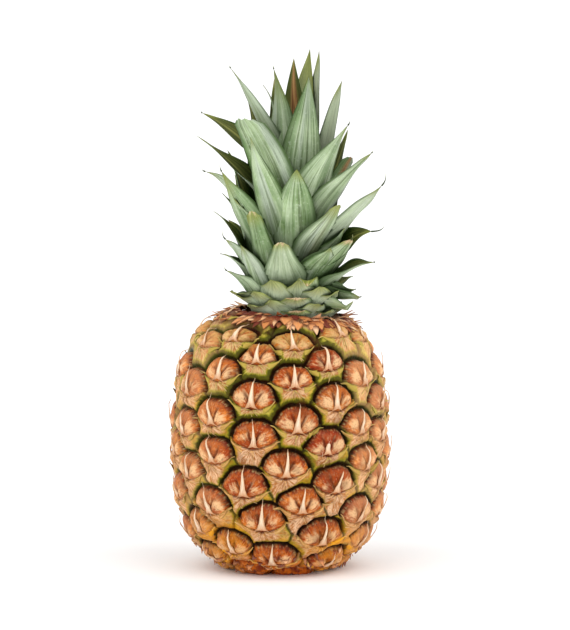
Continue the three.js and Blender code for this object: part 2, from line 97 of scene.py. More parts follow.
MM = 0.001
UP = np.array([0.0, 0.0, 1.0])
CROWN_AXIS = np.array([CROWN_OFFSET, 0, 0])
EYE_SEED, DRY_SEED, NECK_SEED, FOOT_SEED, LEAF_SEED, BACK_SEED = 77, 5, 31, 77, 12, 60151


# ---- small helpers ----
def unit(a):
    return a / np.maximum(np.linalg.norm(a, axis=-1, keepdims=True), 1e-9)


def outward(turn):
    """The level direction at a turn in degrees, where 0 is the front."""
    t = np.radians(turn)
    return np.stack([np.sin(t), -np.cos(t), np.zeros_like(t)], -1)


def smooth(low, high, x):
    t = np.clip((x - low) / (high - low), 0, 1)
    return t * t * (3 - 2 * t)


def hashed(cell, salt):
    """A draw between -1 and 1 for each whole-numbered cell."""
    c = cell.astype(np.int64)
    h = c[..., 0] * 374761393 + c[..., 1] * 668265263 + c[..., 2] * 1440662683
    h = (h + salt * 974634777) & 0xFFFFFFFF
    h = ((h ^ (h >> 13)) * 1274126177) & 0xFFFFFFFF
    h = ((h ^ (h >> 16)) * 2246822519) & 0xFFFFFFFF
    return ((h >> 8) & 0xFFFF) / 32767.5 - 1


def noise(p, size, salt=0):
    """Smooth noise between -1 and 1 over points p, with features about size across."""
    q = p / size
    base = np.floor(q)
    f = q - base
    w = f * f * (3 - 2 * f)
    total = 0
    for corner in range(8):
        bit = np.array([corner & 1, (corner >> 1) & 1, corner >> 2])
        share = np.prod(np.where(bit, w, 1 - w), axis=-1)
        total = total + share * hashed(base + bit, salt)
    return total


def stacked(*parts):
    """Numbers and arrays spread over one grid and stacked in a last axis."""
    return np.stack(np.broadcast_arrays(*parts), -1)


def sheet_grid(rows, cols):
    """Places over a sheet: 0 to 1 along its rows, and -1 to 1 across its columns."""
    return np.linspace(0, 1, rows)[:, None], np.linspace(-1, 1, cols)[None]


def hoop(sides, right, up):
    """Directions to the corners of a strand's cross-section."""
    a = np.arange(sides) * 2 * math.pi / sides
    return np.cos(a)[:, None] * right + np.sin(a)[:, None] * up


def quads_of(index, closed=False):
    """Quads between the rows and columns of a grid of point numbers."""
    a, b = index[:-1], index[1:]
    if closed:
        return np.stack([a, np.roll(a, -1, 1), np.roll(b, -1, 1), b], -1).reshape(-1, 4)
    return np.stack([a[:, :-1], a[:, 1:], b[:, 1:], b[:, :-1]], -1).reshape(-1, 4)


def linked(name, data):
    ob = bpy.data.objects.new(name, data)
    bpy.context.scene.collection.objects.link(ob)
    return ob


def mesh_object(name, verts, faces, marks, normals=None):
    """A smooth-shaded mesh in metres, from millimetre points, each with marks of three numbers."""
    me = bpy.data.meshes.new(name)
    faces = np.asarray(faces, np.int32)
    count, sides = faces.shape
    me.vertices.add(len(verts))
    me.vertices.foreach_set("co", (np.asarray(verts) * MM).astype(np.float32).ravel())
    me.loops.add(count * sides)
    me.loops.foreach_set("vertex_index", faces.ravel())
    me.polygons.add(count)
    me.polygons.foreach_set("loop_start", np.arange(0, count * sides, sides, dtype=np.int32))
    me.update(calc_edges=True)
    for key, values in marks.items():
        attribute = me.attributes.new(key, "FLOAT_VECTOR", "POINT")
        attribute.data.foreach_set("vector", values.astype(np.float32).ravel())
    me.shade_smooth()
    if normals is not None:
        me.normals_split_custom_set_from_vertices(normals.astype(np.float32))
    return linked(name, me)


class Soup:
    """Gathers grids of points, each with its marks, into one mesh."""

    def __init__(self):
        self.points, self.faces, self.marks, self.count = [], [], {}, 0

    def grid(self, points, closed=False, **marks):
        """points is rows x columns x 3, and a mark is three numbers or arrays that spread over it.
        closed joins the last column to the first."""
        rows, cols = points.shape[:2]
        index = self.count + np.arange(rows * cols).reshape(rows, cols)
        self.faces.append(quads_of(index, closed))
        self.points.append(points.reshape(-1, 3))
        for key, value in marks.items():
            spread = np.broadcast_to(stacked(*value), points.shape)
            self.marks.setdefault(key, []).append(spread.reshape(-1, 3))
        self.count += rows * cols

    def build(self, name):
        marks = {key: np.concatenate(values) for key, values in self.marks.items()}
        return mesh_object(name, np.concatenate(self.points), np.concatenate(self.faces), marks)


# ---- the barrel and its eyes ----
NEWTON_STEPS = 12


def on_barrel(p):
    """Points moved onto the barrel, along the line from its middle."""
    aim = np.asarray(p, float) - [0, 0, BODY_MIDDLE]
    across = np.hypot(aim[..., 0], aim[..., 1]) / BODY_RADIUS
    along = np.abs(aim[..., 2]) / BODY_HALF
    scale = 1 / np.maximum(across, along)
    for _ in range(NEWTON_STEPS):
        side, end = (scale * across) ** BARREL_SIDE, (scale * along) ** BARREL_END
        scale = scale * (1 + (1 - side - end) / (BARREL_SIDE * side + BARREL_END * end))
    return aim * scale[..., None] + [0, 0, BODY_MIDDLE]


def barrel_normal(p):
    reach = np.hypot(p[..., 0], p[..., 1])
    side, end = reach / BODY_RADIUS, (p[..., 2] - BODY_MIDDLE) / BODY_HALF
    slope = BARREL_SIDE * side ** (BARREL_SIDE - 1) / BODY_RADIUS
    rise = BARREL_END * np.abs(end) ** (BARREL_END - 1) * np.sign(end) / BODY_HALF
    flat = p[..., :2] / np.maximum(reach, 1e-9)[..., None] * slope[..., None]
    return unit(np.concatenate([flat, rise[..., None]], -1))


def barrel_radius(z):
    return BODY_RADIUS * (1 - np.abs((z - BODY_MIDDLE) / BODY_HALF) ** BARREL_END) ** (1 / BARREL_SIDE)


def barrel_point(turn, z):
    return outward(np.asarray(turn, float)) * barrel_radius(z) + UP * z


def even_heights(count):
    """Heights that share out the barrel's area evenly."""
    steps = 600
    z = EYE_LOWEST + (EYE_HIGHEST - EYE_LOWEST) * np.arange(steps + 1) / steps
    r = barrel_radius(z)
    area = np.concatenate([[0], np.cumsum(np.hypot(np.diff(r), np.diff(z)) * (r[1:] + r[:-1]))])
    return [z[np.argmax(area >= k / (count + 0.25) * area[-1])] for k in range(1, count + 1)]


def place_eyes():
    """Middles of the eyes: a spiral, the front ones moved to their places, and the rest eased apart."""
    centres = []
    for k, z in enumerate(even_heights(EYE_COUNT)):
        q = (z - BODY_MIDDLE) / BODY_HALF
        drift = EYE_DRIFT[0] * q + EYE_DRIFT[1] * q**2 + EYE_DRIFT[2] * q**3
        centres.append(barrel_point(FIRST_EYE_TURN + k * GOLDEN_ANGLE + drift, z))
    centres = np.array(centres)
    settled = []
    for turn, z in FRONT_EYES:
        place = barrel_point(turn, z)
        gap = np.linalg.norm(centres - place, axis=1)
        gap[settled] = np.inf
        settled.append(int(np.argmin(gap)))
        centres[settled[-1]] = place
    for _ in range(EYE_EASINGS):
        for k in range(EYE_COUNT):
            if k in settled:
                continue
            away = centres[k] - centres
            gap = np.linalg.norm(away, axis=1)
            near = (gap > 1e-9) & (gap < EYE_SPACING)
            push = (away[near] * (0.3 * (EYE_SPACING - gap[near]) / gap[near])[:, None]).sum(0)
            centres[k] = on_barrel(centres[k] + push)
    return centres


EYE_FULL, EYE_SIZES = 24.0, (0.72, 1.12)  # spacing of an eye of full size, least and largest size

centres = place_eyes()
eye_normal = barrel_normal(centres)
eye_right = unit(np.stack([-centres[:, 1], centres[:, 0], np.zeros(EYE_COUNT)], -1))
eye_up = np.cross(eye_normal, eye_right)
between = np.linalg.norm(centres[:, None] - centres[None], axis=-1)
eye_size = np.clip(np.sort(between, axis=1)[:, 1:7].mean(1) / EYE_FULL, *EYE_SIZES)
eye_draw = np.random.default_rng(EYE_SEED).uniform(-1, 1, (EYE_COUNT, 12))

NEAR = 7  # eyes looked at for each point of the skin
CREASE = -3.0  # height of the crease between bract and cap, in an eye of full size
CAP_HALF, CAP_TOP, BRACT_LOW = 13.0, 11.2, 8.0  # half width and top of a cap, fall of its bract
CAP_POWER, CAP_DEPTH = 2.5, 12.2  # squareness of a cap's outline, and how far its middle is inside
RULED_OUT = 1000  # added to the distance of an eye whose bract a point can't belong to
BORDER_MOST, RIM_MOST = 6.0, 8.0
eye_crease = CREASE + 3.2 * smooth(120, 136, centres[:, 2]) + 0.4 * eye_draw[:, 8]


def crease_line(u, size, crease):
    """Height of the crease across an eye: it climbs at both ends and dips at the spike."""
    return (crease + 5.0 * np.abs(u / (CAP_HALF * size)) ** 3 - np.exp(-((u / 4.0) ** 2))) * size


def skin(points):
    """For points on the barrel: which eye each belongs to, and where it lies in that eye."""
    q = points + 0.55 * np.stack([noise(points, 5.5, s) for s in (1, 2, 3)], -1)
    q = q + 0.22 * np.stack([noise(points, 1.9, s) for s in (4, 5, 6)], -1)
    gap = np.linalg.norm(q[:, None] - centres[None], axis=-1)
    ids = np.argpartition(gap, NEAR, axis=1)[:, :NEAR]
    d = np.take_along_axis(gap, ids, 1)
    rel = q[:, None] - centres[ids]
    u, v = (rel * eye_right[ids]).sum(-1), (rel * eye_up[ids]).sum(-1)
    stretch = d / np.maximum(np.hypot(u, v), 1e-6)
    tilt = 0.09 * eye_draw[ids, 0]
    cos, sin = np.cos(tilt), np.sin(tilt)
    u, v = (u * cos + v * sin) * stretch, (v * cos - u * sin) * stretch
    size = eye_size[ids]
    apart = between[ids[:, :, None], ids[:, None, :]]
    apart[:, np.arange(NEAR), np.arange(NEAR)] = 1e-3
    sides = (d[:, None, :] ** 2 - d[:, :, None] ** 2) / (2 * apart)
    sides[:, np.arange(NEAR), np.arange(NEAR)] = np.inf
    inside = sides.min(2)  # how far inside its own cell, for each eye near by
    crease = v - crease_line(u, size, eye_crease[ids])
    half = size * (CAP_HALF + 0.5 * eye_draw[ids, 1])
    top = size * (CAP_TOP + 0.6 * eye_draw[ids, 2])
    low = size * eye_crease[ids]
    x, y = np.abs(u) / half, np.where(v > low, (v - low) / (top - low), (low - v) / (BRACT_LOW * size))
    rounded = (1 - (x**CAP_POWER + y**CAP_POWER) ** (1 / CAP_POWER)) * CAP_DEPTH * size
    rim = np.minimum(rounded, inside + 0.7)
    cap = np.minimum(rim, crease)
    n = np.arange(len(points))
    order = np.argsort(-cap, axis=1)
    best, second = order[:, 0], order[:, 1]
    on_cap = cap[n, best] > 0
    allowed = np.where(crease < 0, d, d + RULED_OUT)
    nearest, other = np.argsort(allowed, axis=1)[:, :2].T
    own = np.where(on_cap, best, nearest)
    bract_gap = (d[n, other] ** 2 - d[n, nearest] ** 2) / (2 * apart[n, other, nearest])
    alone = allowed[n, other] > RULED_OUT / 2
    bract_gap = np.where(alone, BORDER_MOST, np.clip(bract_gap, 0, BORDER_MOST))
    others_cap = np.where(np.arange(NEAR)[None] == own[:, None], -np.inf, cap).max(1)
    between_caps = (cap[n, best] - cap[n, second]) / 2 + 0.2
    cap_gap = np.where(on_cap, np.minimum(rim[n, own], between_caps), -others_cap)
    near_ones = dict(eye=ids, u=u, v=v, size=size, crease=crease)
    return {
        **{key: grid[n, own] for key, grid in near_ones.items()},
        "on_cap": on_cap,
        "rim": np.clip(cap_gap, 0, RIM_MOST),
        "border": np.where(on_cap, BORDER_MOST, bract_gap),
    }


SHOULDER = 1.5  # how far inside its groove an eye climbs to most of its height
CAP_FLOOR, CAP_RISE, BRACT_FLOOR, BRACT_RISE = -3.4, 4.9, -3.3, 4.0


def relief(points, s):
    """Height of the rind over the barrel, and the parts of it that the colours use."""
    u, v, size, rim = s["u"], s["v"], s["size"], s["rim"]
    draw = eye_draw[s["eye"]]
    low = eye_crease[s["eye"]] * size
    angle, reach = np.arctan2(u, v - low), np.hypot(u, v - low)
    # cap: three lobes inside a steep rim
    folds = np.abs(angle - 0.42 - 0.15 * draw[:, 4]), np.abs(angle + 0.42 - 0.15 * draw[:, 5])
    valley = np.exp(-((np.minimum(*folds) * np.maximum(reach, 1) / 0.8) ** 2))
    valley = valley * smooth(1.5, 4, reach) * smooth(12.5, 8, reach)
    wing = np.where(u > 0, draw[:, 9], draw[:, 10])
    aside = (np.abs(u) - (5.4 + 0.8 * wing) * size) ** 2 / (13 + 4 * wing)
    lobe = np.exp(-(aside + (v - 1.6 - draw[:, 11]) ** 2 / 12)) * (0.85 + 0.3 * wing)
    ribs = noise(stacked(angle * 5.5, reach * 0.16, draw[:, 3] * 40), 0.5, 11) * smooth(3, 7, reach)
    teeth = noise(stacked(angle * 11, draw[:, 3] * 9, reach * 0.2), 1.0, 12) * smooth(2.6, 0.6, rim)
    climb = 1 - np.exp(-rim / SHOULDER)
    cap = CAP_FLOOR + CAP_RISE * climb + 1.2 * lobe - valley + 0.3 * ribs + 0.5 * teeth
    cap += 0.04 * v
    # bract: a star-shaped scale, highest along its upper lip and where the spike grows from it
    fibre = noise(stacked(angle * 8, reach * 0.12, draw[:, 3] * 40), 0.6, 13)
    knob = np.exp(-((u / 3.6) ** 2) - ((v - low + 2.5) / 3.6) ** 2)
    lip = np.exp(np.minimum(s["crease"], 0) / 1.8)  # grows up to the crease and no further
    bract = BRACT_FLOOR + BRACT_RISE * climb + knob
    bract += 0.3 * fibre - 1.2 * np.exp(-s["border"] / 0.8) + 0.9 * lip
    share = smooth(-0.35, 0.35, s["crease"])
    height = np.where(s["on_cap"], cap, bract)
    seam = np.exp(-((s["crease"] / 0.55) ** 2)) * (0.4 + 0.6 * smooth(13, 5, np.abs(u)))
    height = height - 0.9 * seam + 0.15 * noise(points, 2.4, 15) + 0.06 * noise(points, 1.1, 16)
    return height, dict(angle=angle, reach=reach, lobe=lobe, valley=valley, share=share, seam=seam)


def bowl(p):
    """Height of the bowl that the crown stands in, over points."""
    past = np.maximum(0, np.hypot(p[..., 0] - CROWN_OFFSET, p[..., 1]) - NECK_RADIUS)
    return NECK_FLOOR + NECK_SLOPE * past


def raised(points, extra=0.0):
    """Points of the barrel lifted onto the rind, plus a little extra."""
    flat = points.reshape(-1, 3)
    height, _ = relief(flat, skin(flat))
    out = flat + barrel_normal(flat) * (height + np.ravel(extra))[:, None]
    return out.reshape(points.shape)


# ---- materials ----
def colour(r, g, b):
    """A colour for a shader from its screen values, 0 to 255."""
    c = np.array([r, g, b]) / 255
    return (*np.where(c <= 0.04045, c / 12.92, ((c + 0.055) / 1.055) ** 2.4), 1.0)


class Look:
    """A node material, built up by calls that return sockets."""

    def __init__(self, name, roughness=0.5, specular=0.35):
        self.mat = bpy.data.materials.new(name)
        self.mat.use_nodes = True
        self.tree = self.mat.node_tree
        self.bsdf = self.tree.nodes["Principled BSDF"]
        self.bsdf.inputs["Roughness"].default_value = roughness
        self.bsdf.inputs["Specular IOR Level"].default_value = specular

    def node(self, kind, inputs=None, **settings):
        n = self.tree.nodes.new(kind)
        for key, value in settings.items():
            setattr(n, key, value)
        for key, value in (inputs or {}).items():
            if isinstance(value, bpy.types.NodeSocket):
                self.tree.links.new(value, n.inputs[key])
            else:
                n.inputs[key].default_value = value
        return n

    def mark(self, name, output="Vector"):
        return self.node("ShaderNodeAttribute", attribute_name=name).outputs[output]

    def marks(self, name):
        return self.parts(self.mark(name))

    def place(self):
        return self.node("ShaderNodeTexCoord").outputs["Object"]

    def parts(self, vector):
        n = self.node("ShaderNodeSeparateXYZ", {0: vector})
        return n.outputs[0], n.outputs[1], n.outputs[2]

    def join(self, x, y, z):
        return self.node("ShaderNodeCombineXYZ", {0: x, 1: y, 2: z}).outputs[0]

    def math(self, operation, a, b=0.0):
        return self.node("ShaderNodeMath", {0: a, 1: b, 2: 0.0}, operation=operation).outputs[0]

    def times(self, a, b):
        return self.math("MULTIPLY", a, b)

    def plus(self, a, b):
        return self.math("ADD", a, b)

    def less(self, a, b):
        return self.math("SUBTRACT", a, b)

    def least(self, a, b):
        return self.math("MINIMUM", a, b)

    def absolute(self, a):
        return self.math("ABSOLUTE", a)

    def swing(self, a, amount):
        """How far a lies over its middle value of a half, times an amount."""
        return self.times(self.less(a, 0.5), amount)

    def ramp(self, value, low, high, to_low=0.0, to_high=1.0):
        n = self.node("ShaderNodeMapRange", {0: value, 1: low, 2: high, 3: to_low, 4: to_high})
        n.interpolation_type = "SMOOTHSTEP"
        return n.outputs[0]

    def noise(self, vector, scale, detail=3.0, rough=0.55):
        inputs = {"Vector": vector, "Scale": scale, "Detail": detail, "Roughness": rough}
        return self.node("ShaderNodeTexNoise", inputs).outputs[0]

    def mix(self, share, a, b):
        """Colour a, with a share of colour b. Colours are sockets or screen values."""
        a, b = (colour(*value) if isinstance(value, tuple) else value for value in (a, b))
        return self.node("ShaderNodeMix", {0: share, 6: a, 7: b}, data_type="RGBA").outputs[2]

    def layers(self, base, *rows):
        """Base with colours laid over it in turn. A row is a share, its strength and the colour,
        and a share can be the values of a ramp."""
        for share, strength, top in rows:
            if isinstance(share, tuple):
                share = self.ramp(*share)
            base = self.mix(self.times(share, strength), base, top)
        return base

    def finish(self, base, bump=None, distance=0.0002, strength=0.5):
        self.tree.links.new(base, self.bsdf.inputs["Base Color"])
        if bump is not None:
            n = self.node("ShaderNodeBump", {"Height": bump, "Distance": distance, "Strength": strength})
            self.tree.links.new(n.outputs[0], self.bsdf.inputs["Normal"])
        return self.mat


TOP_ROW = (0.127, 0.135)  # heights between which the caps turn to the top row's tan, in metres


def rind_material():
    """Colours of caps and bracts, from the marks that rind() sets."""
    k = Look("rind", roughness=0.45, specular=0.12)
    u, v, _ = k.marks("spot")
    cap, rim, border = k.marks("marks")
    lobe, valley, seam = k.marks("folds")
    tone, green, dark = k.marks("tone")
    # painted light and shade: the first mark sets how dark shade is painted in the grooves and over the
    # front's middle; light is over 0 on the sides painted as sunlit and under 0 where the foot turns red
    painted_shade, ripe, light = k.marks("cast")
    polar = k.mark("polar")
    place = k.place()
    fine = k.noise(place, 900.0)
    blotch = k.noise(place, 210.0)
    wide = k.noise(place, 60.0, 2.0)
    grain = k.noise(place, 480.0, 3.0, 0.65)
    streak = k.noise(polar, 4.5, 2.0, 0.6)
    thin = k.noise(polar, 10.0, 3.0, 0.6)
    # cap: orange and red, with pale streaky lobes, a dark red brow and a pale toothed edge
    pale = k.plus(k.plus(lobe, k.swing(streak, 1.6)), k.swing(blotch, 1.5))
    edge = k.times(k.ramp(rim, 3.4, 1.2), k.ramp(streak, 0.36, 0.56))
    brow = k.times(k.ramp(v, 3.0, 8.5), k.ramp(blotch, 0.42, 0.6))
    high = k.ramp(k.parts(place)[2], *TOP_ROW)
    high = k.times(high, k.ramp(streak, 0.35, 0.6, 0.15, 0.7))
    teeth = k.times(k.ramp(rim, 1.9, 1.2), k.ramp(k.noise(polar, 7.0, 3.0, 0.7), 0.46, 0.6))
    base = k.layers(
        k.mix(k.ramp(blotch, 0.38, 0.62), (170, 70, 10), (228, 126, 36)),
        ((tone, 0.5, 1.0), 0.8, (220, 138, 40)),
        ((tone, 0.5, 0.0), 0.8, (150, 40, 14)),
        ((pale, 0.1, 0.85), 0.9, (242, 198, 146)),
        ((thin, 0.53, 0.7), 0.4, (240, 198, 148)),
        ((thin, 0.46, 0.32), 0.5, (112, 40, 12)),
        (edge, 0.85, (84, 28, 16)),
        (brow, 0.6, (122, 32, 22)),
        (valley, 0.9, (86, 28, 8)),
        ((grain, 0.42, 0.32), 0.5, (96, 40, 14)),
        (high, 1.0, (206, 164, 88)),
        (teeth, 0.6, (186, 164, 112)),
    )
    # bract: tan fibres that fan out from the spike, golden towards its points and green at its edge
    leafy = k.mix(k.ramp(blotch, 0.35, 0.65), (160, 128, 24), (212, 160, 54))
    greener = k.mix(k.ramp(blotch, 0.35, 0.65), (156, 150, 40), (216, 204, 96))
    leafy = k.mix(k.ramp(green, 0.75, 1.0, 0.0, 0.8), leafy, greener)
    side = k.plus(k.ramp(rim, 5.0, 1.0, 0.0, 0.7), k.swing(streak, 1.5))
    side = k.plus(side, k.times(k.ramp(k.absolute(u), 4.0, 11.0), 0.7))
    side = k.plus(side, k.less(green, 0.5))
    nigh = k.plus(k.least(rim, k.plus(border, 0.8)), k.swing(streak, 3.0))
    nigh = k.less(nigh, k.swing(green, 3.4))
    scale = k.layers(
        k.mix(k.ramp(streak, 0.36, 0.62), (190, 122, 62), (242, 198, 156)),
        ((thin, 0.47, 0.34), 0.4, (132, 74, 30)),
        ((side, 0.3, 1.1), 1.0, leafy),
        ((grain, 0.44, 0.32), 0.45, (124, 80, 30)),
        # yellow-green towards the bract's edge, then painted shade darkening into the groove
        ((nigh, 2.6, 1.2), 0.85, (138, 138, 18)),
        ((nigh, 1.7, 0.6), 0.85, (54, 62, 0)),
    )
    # all together
    ragged = k.plus(rim, k.swing(k.noise(place, 420.0, 2.0), 1.2))
    ragged = k.plus(ragged, k.times(cap, 0.45))
    red = k.mix(k.ramp(blotch, 0.42, 0.58), (128, 30, 8), (226, 110, 14))
    whole = k.layers(
        k.mix(cap, scale, base),
        (seam, 0.85, (78, 28, 10)),
        # painted shade in the grooves round the caps and between the bracts
        ((ragged, 1.7, 0.8), painted_shade, (20, 12, 0)),
        ((border, 1.2, 0.3), 0.7, (44, 40, 8)),
        (ripe, k.ramp(blotch, 0.3, 0.55), (226, 150, 10)),
        ((wide, 0.44, 0.32), 0.4, (96, 50, 20)),
        ((fine, 0.44, 0.3), 0.4, (70, 36, 10)),
        # painted light on the sides painted as sunlit, then the foot's own red, then painted shade over
        # the front's middle
        ((light, 0.0, 1.5, 0.0, 1.5), 0.22, (244, 184, 124)),
        ((light, 0.0, -1.0), 0.7, red),
        ((painted_shade, 0.75, 1.0, 0.02, 0.13), 1.0, (84, 28, 6)),
        (dark, 1.0, (74, 28, 20)),
    )
    return k.finish(whole, k.plus(k.times(thin, 1.5), grain), 0.0005, 0.65)


def bract_material():
    """Dry sheets. Kind is 0 for a spike and 1 for a horn, and warm is near 1 at neck and foot."""
    k = Look("dry_bract", roughness=0.6, specular=0.3)
    across, along, draw = k.marks("sheet")
    kind, warm, hue = k.marks("sort")
    rim = k.absolute(across)
    spread = k.join(k.times(across, 3.0), k.times(along, 0.8), k.times(draw, 30.0))
    line = k.noise(spread, 3.0, 3.0, 0.6)
    spike = k.layers(
        k.mix(k.ramp(rim, 0.2, 0.9), (244, 222, 192), (222, 180, 138)),
        ((along, 0.35, 0.0), 0.8, (206, 142, 90)),
        ((line, 0.5, 0.36), 0.6, (170, 104, 62)),
    )
    margin = k.times(k.ramp(rim, 0.4, 1.0), k.ramp(hue, -0.6, 0.6))
    horn = k.layers(
        k.mix(k.ramp(line, 0.38, 0.6), (168, 108, 48), (224, 172, 104)),
        ((hue, 0.2, 1.0), 0.75, (176, 160, 58)),
        ((hue, 0.0, -0.7), 1.0, (232, 160, 16)),
        ((along, 0.6, 1.0), 0.7, (222, 184, 116)),
        (margin, 0.85, (112, 116, 22)),
    )
    cast = k.plus(hue, k.swing(line, 1.2))
    neck = k.layers(
        k.mix(k.ramp(cast, -0.8, 0.1), (104, 36, 26), (216, 140, 78)),
        ((cast, 0.1, 0.9), 1.0, (240, 196, 152)),
        ((along, 0.5, 0.0), 0.75, (112, 40, 26)),
        ((rim, 0.5, 1.0), 0.6, (120, 58, 34)),
    )
    return k.finish(k.mix(warm, k.mix(kind, spike, horn), neck), line, 0.0003, 0.7)


def leaf_material():
    """Leaves, from marks for the inner face, for how far each spot is dry, pale, brown and olive at its
    tip, and for the shade painted where it is shaded or shut in."""
    k = Look("leaf", roughness=0.55, specular=0.2)
    across, along, draw = k.marks("blade")
    inner, dry, pale = k.marks("sort")
    brown, tip, shade = k.marks("cast")
    crevice_shade = k.mark("crevice_shade", "Fac")
    place = k.place()
    rim = k.absolute(across)
    spread = k.join(k.times(across, 9.0), k.times(along, 1.1), k.times(draw, 40.0))
    broad = k.join(k.times(across, 1.3), k.times(along, 0.7), k.times(draw, 40.0))
    line = k.noise(spread, 1.1, 2.0, 0.6)
    fine = k.noise(spread, 3.2, 2.0, 0.6)
    vein = k.noise(spread, 5.5, 2.0, 0.7)
    stain = k.noise(spread, 0.55, 3.0, 0.6)
    painted_light_band = k.noise(broad, 1.0, 2.0, 0.4)
    cloud = k.noise(place, 75.0, 3.0, 0.6)
    haze = k.noise(place, 38.0, 4.0, 0.6)
    speck = k.noise(place, 600.0, 2.0, 0.6)
    # outer face: green under a silvery bloom
    bloom = k.plus(k.times(k.ramp(line, 0.34, 0.66), 0.35), k.times(k.ramp(draw, -1.0, 1.0), 0.4))
    bloom = k.plus(bloom, k.times(k.ramp(haze, 0.36, 0.62), 0.35))
    outer = k.layers(
        k.mix(k.ramp(cloud, 0.38, 0.64), (90, 126, 54), (146, 176, 112)),
        (bloom, 0.95, (212, 228, 194)),
        # painted light and shade: a lit side and a shaded side across each leaf
        ((painted_light_band, 0.52, 0.66), 0.6, (196, 206, 192)),
        ((painted_light_band, 0.48, 0.34), 0.5, (92, 130, 66)),
        ((fine, 0.45, 0.33), 0.38, (56, 86, 34)),
        ((stain, 0.47, 0.34), 0.6, (82, 94, 62)),
        ((speck, 0.58, 0.75), 0.35, (216, 228, 206)),
    )
    # inner face: dark olive with a paler midrib
    face = k.mix(k.ramp(line, 0.3, 0.7), (44, 50, 16), (100, 106, 46))
    face = k.layers(face, ((rim, 0.2, 0.0), 0.6, (158, 156, 84)))
    # both faces: dark margins, painted shade at the roots, on shaded leaves and in crevices, and what sets
    # one leaf apart from another
    tinge = k.times(brown, k.ramp(k.plus(rim, k.times(line, 0.6)), 0.85, 0.35))
    rust = k.mix(k.ramp(fine, 0.4, 0.6), (112, 62, 36), (196, 148, 96))
    olive = k.mix(k.ramp(fine, 0.35, 0.65), (98, 108, 26), (172, 178, 90))
    husk = k.mix(k.ramp(fine, 0.35, 0.65), (176, 138, 88), (238, 222, 184))
    base = k.layers(
        k.mix(inner, outer, face),
        (pale, k.ramp(fine, 0.25, 0.6, 0.6, 1.0), (208, 220, 190)),
        ((rim, 0.72, 1.0), 0.85, (50, 78, 22)),
        # painted shade towards each leaf's root, where the leaves in front cover it
        ((along, 0.7, 0.2), 0.65, (34, 58, 16)),
        (tinge, 1.0, rust),
        (tip, 0.85, olive),
        (dry, 1.0, husk),
        ((vein, 0.44, 0.34), 0.45, (60, 82, 36)),
        (shade, 0.6, (36, 54, 20)),
        # painted shade in the crevices, where the leaves close each other in
        ((crevice_shade, 0.22, 0.68), 0.9, (24, 48, 0)),
    )
    return k.finish(base, k.plus(line, k.times(fine, 0.6)), 0.0004, 0.7)


def core_material():
    # painted shade: the core is coloured the dark green of the shade among the leaves' roots
    k = Look("core", roughness=0.6, specular=0.3)
    place = k.place()
    cloud = k.noise(place, 120.0, 3.0)
    return k.finish(k.mix(cloud, (30, 38, 14), (58, 70, 30)), cloud, 0.0005, 0.5)


def stalk_material():
    k = Look("cut_stalk", roughness=0.85, specular=0.2)
    place = k.place()
    pores = k.node("ShaderNodeTexVoronoi", {"Vector": place, "Scale": 900.0}).outputs["Distance"]
    cloud = k.noise(place, 150.0, 4.0)
    base = k.mix(cloud, (168, 128, 82), (212, 178, 126))
    base = k.mix(k.ramp(pores, 0.35, 0.1), base, (120, 84, 50))
    return k.finish(base, pores, 0.0004, 0.7)


# ---- the rind ----
def greenness(eye, z):
    """How green the bracts are, 0 to 1: most round the top, least near the foot."""
    low_end = 0.5 + 0.3 * eye_draw[eye, 7] - 0.25 * smooth(60, 0, z)
    return np.clip(low_end + 0.35 * smooth(60, 120, z) + 0.35 * smooth(112, 130, z), 0, 1)


def ripeness(turn, z):
    """Share of ripe yellow: a patch on each side of the front near the foot, and the foot's edge."""
    left = 1.5 * np.exp(-(((turn + 42) / 20) ** 2) - ((z - 22) / 11) ** 2)
    right = 1.6 * np.exp(-(((turn - 50) / 24) ** 2) - ((z - 17) / 10) ** 2)
    return np.minimum(left + right + 0.6 * smooth(14, 4, z), 1)


COLUMNS, ROW_STEP = 612, 0.62  # points round the rind, and millimetres between its rows


def meridian():
    """Radius and height along the barrel's skin from the foot's edge to under the crown."""
    a = np.radians(np.linspace(-89.0, 89.0, 4000))
    line = on_barrel(np.stack([np.cos(a), np.zeros_like(a), BODY_MIDDLE + np.sin(a)], -1))[:, [0, 2]]
    line = line[line[:, 1] >= 0]
    line = line[(line[:, 0] > 22) | (line[:, 1] < BODY_MIDDLE)]
    length = np.concatenate([[0], np.cumsum(np.linalg.norm(np.diff(line, axis=0), axis=1))])
    at = np.linspace(0, length[-1], int(length[-1] / ROW_STEP) + 1)
    return np.stack([np.interp(at, length, line[:, 0]), np.interp(at, length, line[:, 1])], -1)


